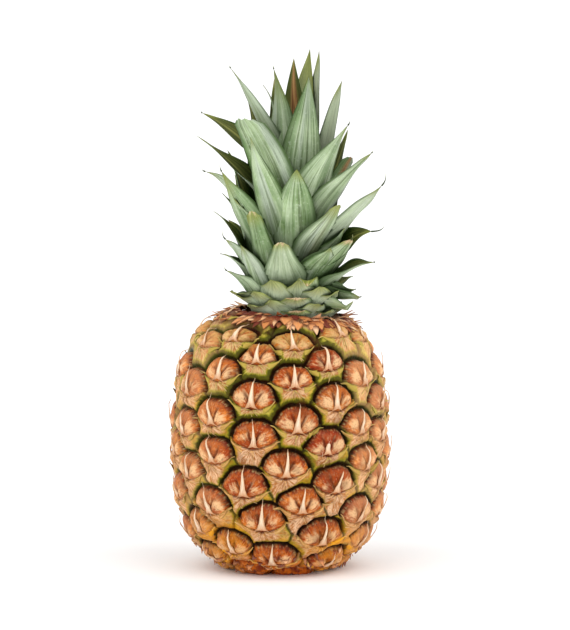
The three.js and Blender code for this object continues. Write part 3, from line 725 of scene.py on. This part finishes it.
def rind():
    """The fruit's skin in a front and a back piece, with its foot, socket and bowl."""
    line = meridian()
    turns = np.linspace(-180, 180, COLUMNS, endpoint=False)
    ways = outward(turns)
    points = line[:, 0][:, None, None] * ways[None] + line[:, 1][:, None, None] * UP
    flat = points.reshape(-1, 3)
    s = skin(flat)
    height, f = relief(flat, s)
    flat = flat + barrel_normal(flat) * height[:, None]
    flat[:, 2] = np.minimum(np.maximum(flat[:, 2], 0), bowl(flat))
    draw = eye_draw[s["eye"]]
    z, turn = points.reshape(-1, 3)[:, 2], np.degrees(np.arctan2(flat[:, 0], -flat[:, 1]))
    yellow = 0.4 + 0.3 * draw[:, 6] + 0.25 * smooth(20, -70, turn) + 0.25 * smooth(30, 0, z)
    yellow = np.clip(yellow, 0, 1)
    green = greenness(s["eye"], z)
    dark = 0.85 * smooth(139.5, 144, z + draw[:, 8])
    # painted light: the left and right sides are painted as if sunlit
    sunlit = smooth(-22, -50, turn) * smooth(-140, -120, turn)
    right = smooth(28, 58, turn) * smooth(140, 120, turn)
    # painted shade: how dark the grooves and the front's middle are painted, less on the sunlit sides
    painted_shade = 1 - (0.5 * sunlit + 0.25 * right) * smooth(20, 60, z)
    ripe = ripeness(turn, z) * np.where(s["on_cap"], 0.45, 1.0) * smooth(0.3, 1.5, s["rim"])
    foot = smooth(15, 5, z + 2 * draw[:, 4])
    # painted light on those sides, kept out of the grooves
    light = (sunlit + 1.5 * right) * smooth(0.8, 2.2, s["rim"])
    full = {
        "spot": (s["u"], s["v"], draw[:, 3]),
        "marks": (f["share"] * s["on_cap"], s["rim"], s["border"]),
        "folds": (f["lobe"], f["valley"] * s["on_cap"], f["seam"]),
        "tone": (yellow, green, dark),
        "polar": (f["angle"] * 1.6, f["reach"] * 0.05, draw[:, 3] * 20),
        "cast": (painted_shade, ripe, light - foot),
    }
    rows = len(line)
    # the foot below, round the stalk's socket, and the bowl's floor above, under the crown
    socket = STALK_RADIUS + 1.4 * GAP
    grid = flat.reshape(rows, COLUMNS, 3)
    below = [ways * 0.02 + UP * STALK_HEIGHT, ways * socket + UP * STALK_HEIGHT, ways * socket]
    below += [grid[0] * [w, w, 0] + (1 - w) * ways * socket for w in (0.4, 0.8)]
    above = [ways * r + UP * NECK_FLOOR for r in (12.0, 0.02)]
    grid = np.concatenate([np.array(below), grid, np.array(above)])
    marks = {}
    for key, value in full.items():
        value = stacked(*value).reshape(rows, COLUMNS, 3)
        ends = np.repeat(value[:1], len(below), 0), np.repeat(value[-1:], len(above), 0)
        marks[key] = np.concatenate([ends[0], value, ends[1]])
    across = np.roll(grid, -1, 1) - np.roll(grid, 1, 1)
    along = np.gradient(grid, axis=0)
    normals = unit(np.cross(across, along))
    material = rind_material()
    quarter = COLUMNS // 4
    for name, first in (("rind_front", quarter), ("rind_back", 3 * quarter)):
        columns = (first + np.arange(COLUMNS // 2 + 1)) % COLUMNS
        part = grid[:, columns]
        r, c = part.shape[:2]
        quads = quads_of(np.arange(r * c).reshape(r, c))
        chosen = {key: value[:, columns].reshape(-1, 3) for key, value in marks.items()}
        ob = mesh_object(name, part.reshape(-1, 3), quads, chosen, normals[:, columns].reshape(-1, 3))
        ob.data.materials.append(material)
        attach(ob, "root")
        if name == "rind_front":
            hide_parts("fruit")


# ---- spikes, horns and hairs on the eyes ----
def eye_points(k, u, v):
    return on_barrel(centres[k] + u[..., None] * eye_right[k] + v[..., None] * eye_up[k])


def lifted(k, u, v, lift):
    """Points that stand off the rind of eye k by lift, over places u, v in its own frame."""
    return raised(eye_points(k, u, v), lift)


def shown_eyes():
    """The eyes with dry points: all but the foot's edge and those under the crown."""
    off = np.hypot(centres[:, 0] - CROWN_OFFSET, centres[:, 1])
    return [k for k in range(EYE_COUNT) if centres[k, 2] > 5 and (centres[k, 2] < 100 or off[k] > 37)]


SPIKE_LENGTH, SPIKE_BASE = 13.3, 1.0
BROKEN_DRAW, BROKEN_SHARE = 0.9, 0.5  # a spike drawn over the first keeps this share of its length
HORN_START, HORN_REACH = 6.0, 7.6
FIBRES, FIBRE_REACH = 4, 5.5
SPIKE_THICKNESS, NECK_THICKNESS, FOOT_THICKNESS = 0.35, 0.4, 0.35


def add_spike(soup, k, draws):
    """A dry blade with a forked foot, from the crease over the cap."""
    size = eye_size[k]
    length = size * (SPIKE_LENGTH + 2.0 * draws[0])
    t, x = sheet_grid(12, 7)
    t = t**1.4 * (BROKEN_SHARE if draws[2] > BROKEN_DRAW else 1)
    low = eye_crease[k] * size
    foot = low - (1.9 + 0.5 * draws[3]) * np.abs(x) + 0.7
    taper = 2.4 * np.exp(-t / 0.07) + np.exp(-t / 0.2) + 1.5 * (1 - t) ** 0.9
    half = (SPIKE_BASE + 0.2 * draws[3]) * size * taper + 0.06
    v = foot + t * (length - 0.5 * (low - CREASE * size) - (foot - low))
    u = x * half + 2.4 * draws[1] * t**1.5 + 0.6 * np.sin(3 * t + draws[4] * 3)
    keel = 0.55 * (1 - np.abs(x)) * (1 - t)
    off = 0.35 + 0.9 * t + (1.6 + 0.8 * draws[5]) * t**2 + keel - 0.5 * (t < 0.05)
    points = lifted(k, u, v, off)
    soup.grid(points, sheet=(x, t, draws[6]), sort=(0, 0, 0))
    return points[-1].mean(0), unit(points[-1].mean(0) - points[-3].mean(0))


def add_horn(soup, k, side, draws):
    """The pointed corner of a bract, which lies over the groove beside its cap."""
    size = eye_size[k]
    t, x = sheet_grid(9, 7)
    reach = size * (HORN_REACH + 1.6 * draws[0])
    u = side * size * HORN_START + side * reach * t
    line = crease_line(np.clip(u, -CAP_HALF, CAP_HALF), size, eye_crease[k])
    v = line - 1.7 * size + (1.0 + 1.3 * draws[1]) * t**2 - x * size * 2.3 * (1 - t) ** 1.2
    off = 0.2 + (1.3 + 0.9 * draws[3]) * t**1.8 + 0.35 * (1 - x**2) * (1 - t)
    points = lifted(k, u + 0 * x, v, off - 0.5 * (1 - t) - 0.2 * x**2)
    soup.grid(points, sheet=(x, t, draws[2]), sort=(1, 0, bract_hue(k, 12 * side)))


def bract_hue(k, turn_more=0.0):
    """Hue of the dry parts of eye k, from ripe yellow below 0 to green at 1."""
    turn, z = math.degrees(math.atan2(centres[k, 0], -centres[k, 1])), centres[k, 2] - 4
    return greenness(k, z) ** 1.5 - 1.2 * ripeness(turn + turn_more, z)


def add_fibre(soup, k, draws):
    """A thin dry strand that runs from the foot of the spike down over the bract."""
    size = eye_size[k]
    t, x = sheet_grid(8, 3)
    angle = math.radians(78 * draws[0]) + 0.5 * draws[1] * t
    reach = size * (1.0 + (FIBRE_REACH + 2.5 * draws[2]) * t)
    wide = (0.17 + 0.06 * draws[3]) * (1 - t) ** 0.5
    u = reach * np.sin(angle) + x * wide * np.cos(angle)
    v = (eye_crease[k] - 0.6) * size - reach * np.cos(angle) * 0.8 + x * wide * np.sin(angle)
    off = 0.08 + (0.15 + 0.15 * draws[4]) * np.sin(math.pi * t * 0.8) + 0.1 * (1 - np.abs(x))
    points = lifted(k, u, v, off)
    soup.grid(points, sheet=(0.3, t, draws[2]), sort=(0.85, 0, bract_hue(k)))


def add_hair(soup, start, way, length, radius, draws):
    """A thin curved bristle with three sides."""
    t = np.linspace(0, 1, 8)[:, None]
    bend = unit(np.cross(way, [draws[0], draws[1], 0.4 + draws[2]]))
    path = start + length * (t * way + 0.28 * t**2 * bend)
    ring = hoop(3, bend, unit(np.cross(way, bend)))
    points = path[:, None] + radius * (1.05 - t)[..., None] * ring
    soup.grid(points, closed=True, sheet=(0.4, t, 0.3), sort=(0, 0, 0))


def dry_piece(soup, name, material, thickness=0):
    """One piece of dry bract from a soup, of sheets where it has a thickness in millimetres."""
    ob = soup.build(name)
    ob.data.materials.append(material)
    if thickness:
        thick = ob.modifiers.new("thick", "SOLIDIFY")
        thick.thickness, thick.offset = thickness * MM, 0.0
    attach(ob, "root")


def dry_points(material):
    """The spikes, horns and fibres of the shown eyes, and the hairs that some of them carry."""
    draws = np.random.default_rng(DRY_SEED)
    spikes, hairs = Soup(), Soup()
    for k in shown_eyes():
        tip, way = add_spike(spikes, k, draws.uniform(-1, 1, 8))
        for side in (-1, 1):
            add_horn(spikes, k, side, draws.uniform(-1, 1, 4))
        for _ in range(FIBRES):
            add_fibre(spikes, k, draws.uniform(-1, 1, 5))
        more = draws.uniform(-1, 1, 8)
        if more[0] > -0.2:
            out = unit(way + (0.25 + 0.3 * more[1]) * eye_normal[k])
            add_hair(hairs, tip, out, 3.5 + 2.5 * more[2], 0.17, more[3:6])
        if more[6] > 0.2:
            start = lifted(k, np.array([4.0 * more[3]]), np.array([-5.0]), 0.0)[0]
            out = unit(0.5 * eye_normal[k] + 0.7 * eye_up[k] + 0.5 * more[4] * eye_right[k])
            add_hair(hairs, start, out, 6.5 + 3.0 * more[5], 0.14, more[:3])
    dry_piece(spikes, "spikes", material, SPIKE_THICKNESS)
    dry_piece(hairs, "hairs", material)


# Rings of the neck's bracts: count, radius of the roots, length, half width and lift of the tips.
NECK_RINGS = (
    (44, 29.5, 6.0, 2.6, 3.2), (40, 31.5, 8.0, 3.2, 1.6), (38, 33.0, 9.0, 3.6, 0.9),
    (40, 36.0, 8.0, 2.4, 1.4), (30, 39.0, 6.5, 1.8, 2.4),
)
RING_TURN, NECK_AIM = 7, 145  # turn from ring to ring, and the height they are laid out at
FOOT_BRACTS, FOOT_LOW, FOOT_HIGH, FOOT_CLEAR = 90, 4.0, 17.0, 0.4


def neck_ring(material):
    """Rings of dry triangular bracts that hang from under the crown over the fruit's shoulder."""
    draws = np.random.default_rng(NECK_SEED)
    soup = Soup()
    t, x = sheet_grid(8, 5)
    for ring, (count, root, length, half, lift) in enumerate(NECK_RINGS):
        for k in range(count):
            d = draws.uniform(-1, 1, 8)
            turn = 360 / count * (k + 0.5 * d[0]) + RING_TURN * ring
            out, side = outward(turn), outward(turn + 90)
            reach = root + 1.2 * d[5] + length * (1 + 0.45 * d[3]) * t
            sway = half * (1 + 0.4 * d[4]) * x * (1 - t**1.5) + 2.5 * d[2] * t**2
            place = CROWN_AXIS + out * reach[..., None] + side * sway[..., None] + UP * NECK_AIM
            place = on_barrel(place)
            rise = 0.7 + lift * (1 + 0.9 * d[1]) * t**1.4 + 0.5 * (1 - x**2) * (1 - t)
            points = place + barrel_normal(place) * rise[..., None]
            soup.grid(points, sheet=(x, t, d[0]), sort=(0, 1, d[6]))
    dry_piece(soup, "neck_bracts", material, NECK_THICKNESS)


def foot_ring(material):
    """Short ragged bracts that point down and outwards round the foot."""
    draws = np.random.default_rng(FOOT_SEED)
    soup = Soup()
    t, x = sheet_grid(7, 5)
    for k in range(FOOT_BRACTS):
        d = draws.uniform(-1, 1, 8)
        turn = 360 / FOOT_BRACTS * (k + 0.6 * d[0])
        z = FOOT_LOW + (FOOT_HIGH - FOOT_LOW) * (0.5 + 0.5 * d[1]) ** 1.3
        side, root = outward(turn + 90), barrel_point(turn, z)
        sway = (1.9 + 0.8 * d[2]) * x * (1 - t**1.3) + 2.5 * d[3] * t**1.5
        fall = (3.6 + 1.6 * d[4]) * t
        place = on_barrel(root + side * sway[..., None] - UP * fall[..., None])
        rise = 0.2 + (1.5 + 1.3 * d[5]) * t**1.3 + 0.4 * (1 - x**2) * (1 - t)
        points = raised(place, rise)
        points[..., 2] = np.maximum(points[..., 2], FOOT_CLEAR)
        soup.grid(points, sheet=(x, t, d[6]), sort=(0, 0.9, 0.8 * d[7] - 0.25))
    dry_piece(soup, "foot_bracts", material, FOOT_THICKNESS)


# ---- the crown ----
def core_radius(z):
    along = np.clip((z - NECK_FLOOR) / (CORE_TOP - NECK_FLOOR), 0, 1)
    return CORE_RADIUS * (1 - along**1.7) + 0.8


def back_leaves():
    """Leaves of the back and far sides, from a rule that gives the CAD's leaves too."""
    seed, modulus = BACK_SEED, 2**31 - 1
    rows = []
    for index in range(LEAF_COUNT):
        turn = (FIRST_LEAF_TURN + index * GOLDEN_ANGLE + 540) % 360 - 180
        age = ((index + 0.5) / LEAF_COUNT) ** 1.35
        jitter = []
        for _ in range(4):
            seed = seed * 16807 % modulus
            jitter.append(2 * seed / modulus - 1)
        if abs(turn) < FRONT_LEAVES_TURN:
            continue
        reach = 34 + 62 * age * (1 - age) - 14 * age * age + 3 * jitter[0]
        top = 152 + 130 * age**0.85 + 5 * jitter[1]
        width = 24 + 16 * age * (1 - age) - 10 * age * age
        seat, tip_angle = 143 + 62 * age, 22 + 62 * age + 12 * jitter[3]
        rows.append((turn, seat, turn + 7 * jitter[2], reach, top, width, tip_angle, 0))
    return rows


def width_share(t, blunt, drawn, full):
    """Share of a leaf's full width along it. Blunt is the share left at the end, and a drawn leaf
    narrows early to a long thin tip. Full is how long a leaf keeps its width."""
    low = 0.72 + 0.28 * np.sin(np.clip(t / 0.3, 0, 1) * math.pi / 2)
    past = np.clip((t - 0.3) / 0.7, 0, 1)
    high = (1 - (1 - blunt) * past**full) * (1 - drawn * smooth(0.15, 0.75, past))
    return np.where(t < 0.3, low, high) * (1 - 0.35 * (blunt > 0) * smooth(0.95, 1.0, t))


def closeness(ob, reach, rays=12):
    """How far each point of a piece is closed in by the piece itself within reach, 0 to 1."""
    me = ob.data
    points = np.empty(len(me.vertices) * 3, np.float32)
    me.vertices.foreach_get("co", points)
    normals = np.empty(len(me.vertices) * 3, np.float32)
    me.vertex_normals.foreach_get("vector", normals)
    points, normals = points.reshape(-1, 3) / MM, normals.reshape(-1, 3)
    tree = BVHTree.FromPolygons(points.tolist(), [tuple(p.vertices) for p in me.polygons])
    height = 1 - 2 * (np.arange(rays) + 0.5) / rays
    angle = np.radians(GOLDEN_ANGLE) * np.arange(rays)
    level = np.sqrt(1 - height**2)
    ball = np.stack([np.cos(angle) * level, np.sin(angle) * level, height], -1)
    starts = (points + 0.4 * normals).tolist()
    ways = unit(normals[:, None] + ball[None]).tolist()
    closed = np.zeros(len(points))
    for i, start in enumerate(starts):
        for way in ways[i]:
            distance = tree.ray_cast(start, way, reach)[3]
            if distance is not None:
                closed[i] += 1 - distance / reach
    return closed / rays


ACROSS, ALONG = 12, 40  # quads over a leaf's face


def add_leaf(soup, row, d, look, blunt):
    """A channelled blade like the CAD's, finer, with ribs, waves and a tip of its own."""
    turn, seat, lean, reach, top, width, tip_angle, roll = row
    start = outward(turn) * SEAT_SHARE * core_radius(seat) + UP * seat
    end = outward(lean) * reach + UP * top
    pull = 0.36 * np.linalg.norm(end - start)
    rise, arrive = math.radians(SEAT_ANGLE), math.radians(tip_angle)
    near = start + pull * (outward(turn) * math.cos(rise) + UP * math.sin(rise))
    far = end - pull * (outward(lean) * math.cos(arrive) + UP * math.sin(arrive))
    t = np.minimum(np.linspace(0, 1, ALONG + 1), 0.9995)
    s = 1 - t
    a, b, c, e = (w[:, None] for w in (s**3, 3 * s * s * t, 3 * s * t * t, t**3))
    centre = a * start + b * near + c * far + e * end
    a, b, c = (w[:, None] for w in (3 * s * s, 6 * s * t, 3 * t * t))
    forward = unit(a * (near - start) + b * (far - near) + c * (end - far))
    across = outward(turn + (lean - turn) * t + 90)
    across = unit(across - (across * forward).sum(-1, keepdims=True) * forward)
    rolled = np.radians(roll * np.sin(np.minimum(1.4 * t, 1) * math.pi / 2))[:, None]
    across = across * np.cos(rolled) + np.cross(forward, across) * np.sin(rolled)
    out = np.cross(across, forward)
    wrap = np.radians(60 - 38 * t)[:, None]
    half = (width / 2 * width_share(t, blunt, look["drawn"], look["full"]))[:, None]
    radius = half / np.sin(wrap)
    x = np.linspace(-1, 1, ACROSS + 1)[None]
    shift = radius * np.sin(x * wrap)
    drop = radius * (1 - np.cos(x * wrap))
    tt = t[:, None]
    spread = smooth(0.1, 0.4, tt) * smooth(1.0, 0.85, tt) * look["wave"]
    wave = 0.7 * x**2 * np.sin(tt * (10 + 3 * d[0]) + d[1] * 3 + x * 1.4) * spread
    rib = 0.3 * np.exp(-((x / 0.12) ** 2)) * smooth(1, 0.6, tt)
    ridges = 0.08 * np.sin(x * 20 + 2 * d[2]) + 0.05 * np.sin(x * 33 + 5 * d[4])
    bend = (0.8 * d[5] * np.sin(math.pi * tt * 1.3) * tt)[..., None]
    middle = centre[:, None] + across[:, None] * (shift[..., None] + bend)
    middle = middle + out[:, None] * (wave + rib + ridges - drop)[..., None]
    thick = (LEAF_THICKNESS / 2) * (0.25 + 0.75 * (1 - np.abs(x) ** 3)) * (1 - 0.75 * tt) * (tt < 0.999)
    past = np.maximum(0, np.hypot(middle[..., 0], middle[..., 1]) - NECK_RADIUS)
    middle[..., 2] = np.maximum(middle[..., 2], NECK_FLOOR + LEAF_THICKNESS + NECK_SLOPE * past)
    ragged = blunt * smooth(0.94, 1.0, tt) * (0.7 * np.sin(x * 9 + d[0] * 7) + 1.2 - 2.5 * x**2)
    middle = middle + forward[:, None] * ragged[..., None]
    outer = middle + out[:, None] * thick[..., None]
    inner = middle - out[:, None] * thick[..., None]
    ring = np.concatenate([outer, inner[:, ::-1]], 1) + CROWN_AXIS
    both_x = np.concatenate([x, x[:, ::-1]], 1)
    # short leaves start further along, so that less painted root shade falls on them
    start_at = 0.5 * smooth(45, 25, np.linalg.norm(end - start))
    blade = both_x, start_at + (1 - start_at) * tt, d[3]
    inside = np.repeat([[0.0, 1.0]], ACROSS + 1, axis=1)
    dries = look["dry"]
    dry = smooth(dries, dries + 0.07, tt + 0.025 * np.sin(both_x * 7 + d[1] * 5))
    fades = look["olive"]
    olive = smooth(fades, fades + max(0.14, 1 - fades), tt + 0.06 * both_x * d[2])
    cast = look["brown"], olive, look["shade"]
    soup.grid(ring, closed=True, blade=blade, sort=(inside, dry, look["pale"]), cast=cast)
    if look["whip"]:
        u = np.linspace(0, 1, 9)[:, None]
        way, lift = forward[-1], look["curl"] * unit(UP + 0.3 * across[-1] * d[2])
        path = centre[-1] + look["whip"] * ((u - u**2 / 2) * way + u**3 * lift / 2) + bend[-1] * across[-1]
        strand = 0.5 * (1.08 - u)[..., None] * hoop(5, across[-1], out[-1])
        points = path[:, None] + strand + CROWN_AXIS
        soup.grid(points, closed=True, blade=(0.3, 0.98, d[3]), sort=(0, 0.25, 0.2), cast=(0, 0.7, 0))


# Share of the width that is left at the end of a leaf that broke or dried there, by its place.
BLUNT_ENDS = {11: 0.4, 14: 0.3, 15: 0.15, 22: 0.85, 29: 0.5, 30: 0.26, 35: 0.2, 40: 0.45, 49: 0.3}

# What sets a leaf of FRONT_LEAVES apart, by its place: where it turns dry or olive, how pale,
# brown or shaded it is, and a tip that is drawn out thin or ends in a whip.
PLAIN_LOOK = {
    "dry": 2, "olive": 0.84, "pale": 0, "brown": 0, "shade": 0,
    "drawn": 0, "full": 1.7, "wave": 1, "whip": 0, "curl": 1,
}
LEAF_LOOKS = {
    0: {"olive": 0.5, "pale": 0.4, "shade": 0.2}, 1: {"pale": 0.6}, 2: {"brown": 0.9, "olive": 0.9},
    3: {"whip": 2, "olive": 0.7, "shade": 0.55}, 4: {"shade": 0.6, "drawn": 0.3},
    5: {"pale": 0.45, "whip": 2, "drawn": 0.45}, 6: {"olive": 0.93, "full": 2.0, "shade": 0.4},
    7: {"whip": 4, "drawn": 0.1}, 8: {"pale": 0.95}, 9: {"pale": 0.6}, 10: {"whip": 2},
    11: {"brown": 1.0, "olive": 2, "shade": 0.7}, 12: {"pale": 0.5, "whip": 9, "curl": 1.6},
    13: {"whip": 17, "curl": 0.9}, 14: {"olive": 0.7, "brown": 0.1}, 15: {"dry": 0.9, "whip": 4},
    16: {"whip": 2, "curl": 0.3}, 17: {"whip": 1}, 18: {"whip": 1}, 20: {"whip": 2, "curl": 3},
    21: {"drawn": 0.5}, 22: {"olive": 2}, 23: {"olive": 0.88}, 24: {"whip": 3, "curl": 2, "olive": 0.7},
    25: {"whip": 4, "pale": 0.4}, 26: {"drawn": 0.2, "shade": 0.3}, 27: {"drawn": 0.5},
    28: {"olive": 0.86, "full": 2.7}, 29: {"dry": 0.96, "olive": 0.75},
    30: {"dry": 0.94, "olive": 0.8, "full": 1.1, "pale": 0.4}, 31: {"olive": 0.75},
    32: {"whip": 3, "curl": 2}, 33: {"whip": 5, "curl": 2}, 34: {"whip": 1},
    35: {"dry": 0.93, "olive": 0.35}, 40: {"dry": 0.9, "olive": 0.45, "pale": 0.6},
    43: {"olive": 0.4, "pale": 0.5}, 49: {"dry": 0.88, "olive": 0.4, "pale": 0.4},
}
OTHER_DRY = {"dry": 0.95}
SCALE_LOOK = {"pale": 0.9, "olive": 0.42, "full": 2.2, "wave": 1.8}
SCALES = range(39, 54)  # the places of the short leaves round the crown's foot
CREVICE_REACH, SCALE_SHADE = 18.0, 0.6


def crown():
    """All leaves as one piece, and the core that they grow from, painted dark as the shade among the
    leaves' roots.
    """
    draws = np.random.default_rng(LEAF_SEED)
    soup = Soup()
    scale_points = []
    for index, row in enumerate(FRONT_LEAVES + back_leaves()):
        if index in (SCALES[0], SCALES[-1] + 1):
            scale_points.append(soup.count)
        d = draws.uniform(-1, 1, 6)
        look = LEAF_LOOKS.get(index, SCALE_LOOK if index in SCALES else {})
        if index >= len(FRONT_LEAVES) and d[0] > 0.2:
            look = OTHER_DRY
        add_leaf(soup, row, d, {**PLAIN_LOOK, **look}, BLUNT_ENDS.get(index, 0.0))
    ob = soup.build("crown_leaves")
    # painted shade: how far the leaves close each point in, weaker on the scales
    closed = closeness(ob, CREVICE_REACH)
    closed[scale_points[0]:scale_points[1]] *= SCALE_SHADE
    crevice_shade = ob.data.attributes.new("crevice_shade", "FLOAT", "POINT")
    crevice_shade.data.foreach_set("value", closed.astype(np.float32))
    ob.data.materials.append(leaf_material())
    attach(ob, "root")
    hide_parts("crown")
    z = np.linspace(NECK_FLOOR + GAP, CORE_TOP, 40)
    ways = outward(np.linspace(0, 360, 48, endpoint=False))
    r = core_radius(z)
    r[0], r[-1] = 0.02, 0.02
    z[1] = z[0]
    core = Soup()
    core.grid(r[:, None, None] * ways[None] + z[:, None, None] * UP + CROWN_AXIS, closed=True)
    ob = core.build("crown_core")
    ob.data.materials.append(core_material())
    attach(ob, "root")


# ---- floor, light and camera ----
FLOOR_HALF, WORLD_STRENGTH, SUN_ANGLE = 300000, 0.80, 70.0
SUN_TARGET = 0.14
SUNS = {"left": (1.11, (-1.2, -1.0, 1.4)), "right": (1.23, (1.3, -0.9, 1.3))}


def studio():
    """A white floor and sky, with a wide soft sun from each side."""
    soup = Soup()
    x = np.linspace(-FLOOR_HALF, FLOOR_HALF, 13)
    soup.grid(stacked(x[None], x[:, None], 0.0))
    floor = soup.build("floor")
    k = Look("floor", roughness=0.9, specular=0.1)
    k.bsdf.inputs["Base Color"].default_value = (1.0, 1.0, 1.0, 1)
    floor.data.materials.append(k.mat)
    world = bpy.data.worlds.new("world")
    bpy.context.scene.world = world
    world.use_nodes = True
    world.node_tree.nodes["Background"].inputs[0].default_value = (1, 1, 1, 1)
    world.node_tree.nodes["Background"].inputs[1].default_value = WORLD_STRENGTH
    for name, (strength, place) in SUNS.items():
        light = bpy.data.lights.new(name, "SUN")
        light.energy, light.angle = strength, math.radians(SUN_ANGLE)
        aim(linked(name, light), place, (0, 0, SUN_TARGET))


def aim(ob, place, target):
    ob.location = place
    ob.rotation_euler = (Vector(target) - Vector(place)).to_track_quat("-Z", "Y").to_euler()


PIXEL = 0.00057  # metres to a pixel of the photograph at the fruit's axis
WIDTH_PX, HEIGHT_PX = 570, 630
AXIS_PX, FOOT_PX = 280, 568  # where the foot's middle stands in the photograph
CAMERA_DISTANCE, CAMERA_RISE, SENSOR = 2.0, 5.5, 36


def camera():
    rise = math.radians(CAMERA_RISE)
    right, up = (WIDTH_PX / 2 - AXIS_PX) * PIXEL, (FOOT_PX - HEIGHT_PX / 2) * PIXEL
    target = np.array([right, 0, up / math.cos(rise)])
    place = target + CAMERA_DISTANCE * np.array([0, -math.cos(rise), math.sin(rise)])
    data = bpy.data.cameras.new("camera")
    data.sensor_fit = "VERTICAL"
    data.sensor_width = data.sensor_height = SENSOR
    data.lens = SENSOR * CAMERA_DISTANCE / (PIXEL * HEIGHT_PX)
    ob = linked("camera", data)
    aim(ob, place, target)
    bpy.context.scene.camera = ob


rind()
dry = bract_material()
dry_points(dry)
neck_ring(dry)
foot_ring(dry)
crown()
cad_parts["stalk"].data.materials.clear()
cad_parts["stalk"].data.materials.append(stalk_material())
studio()
camera()
bpy.context.scene.view_settings.view_transform = "Standard"
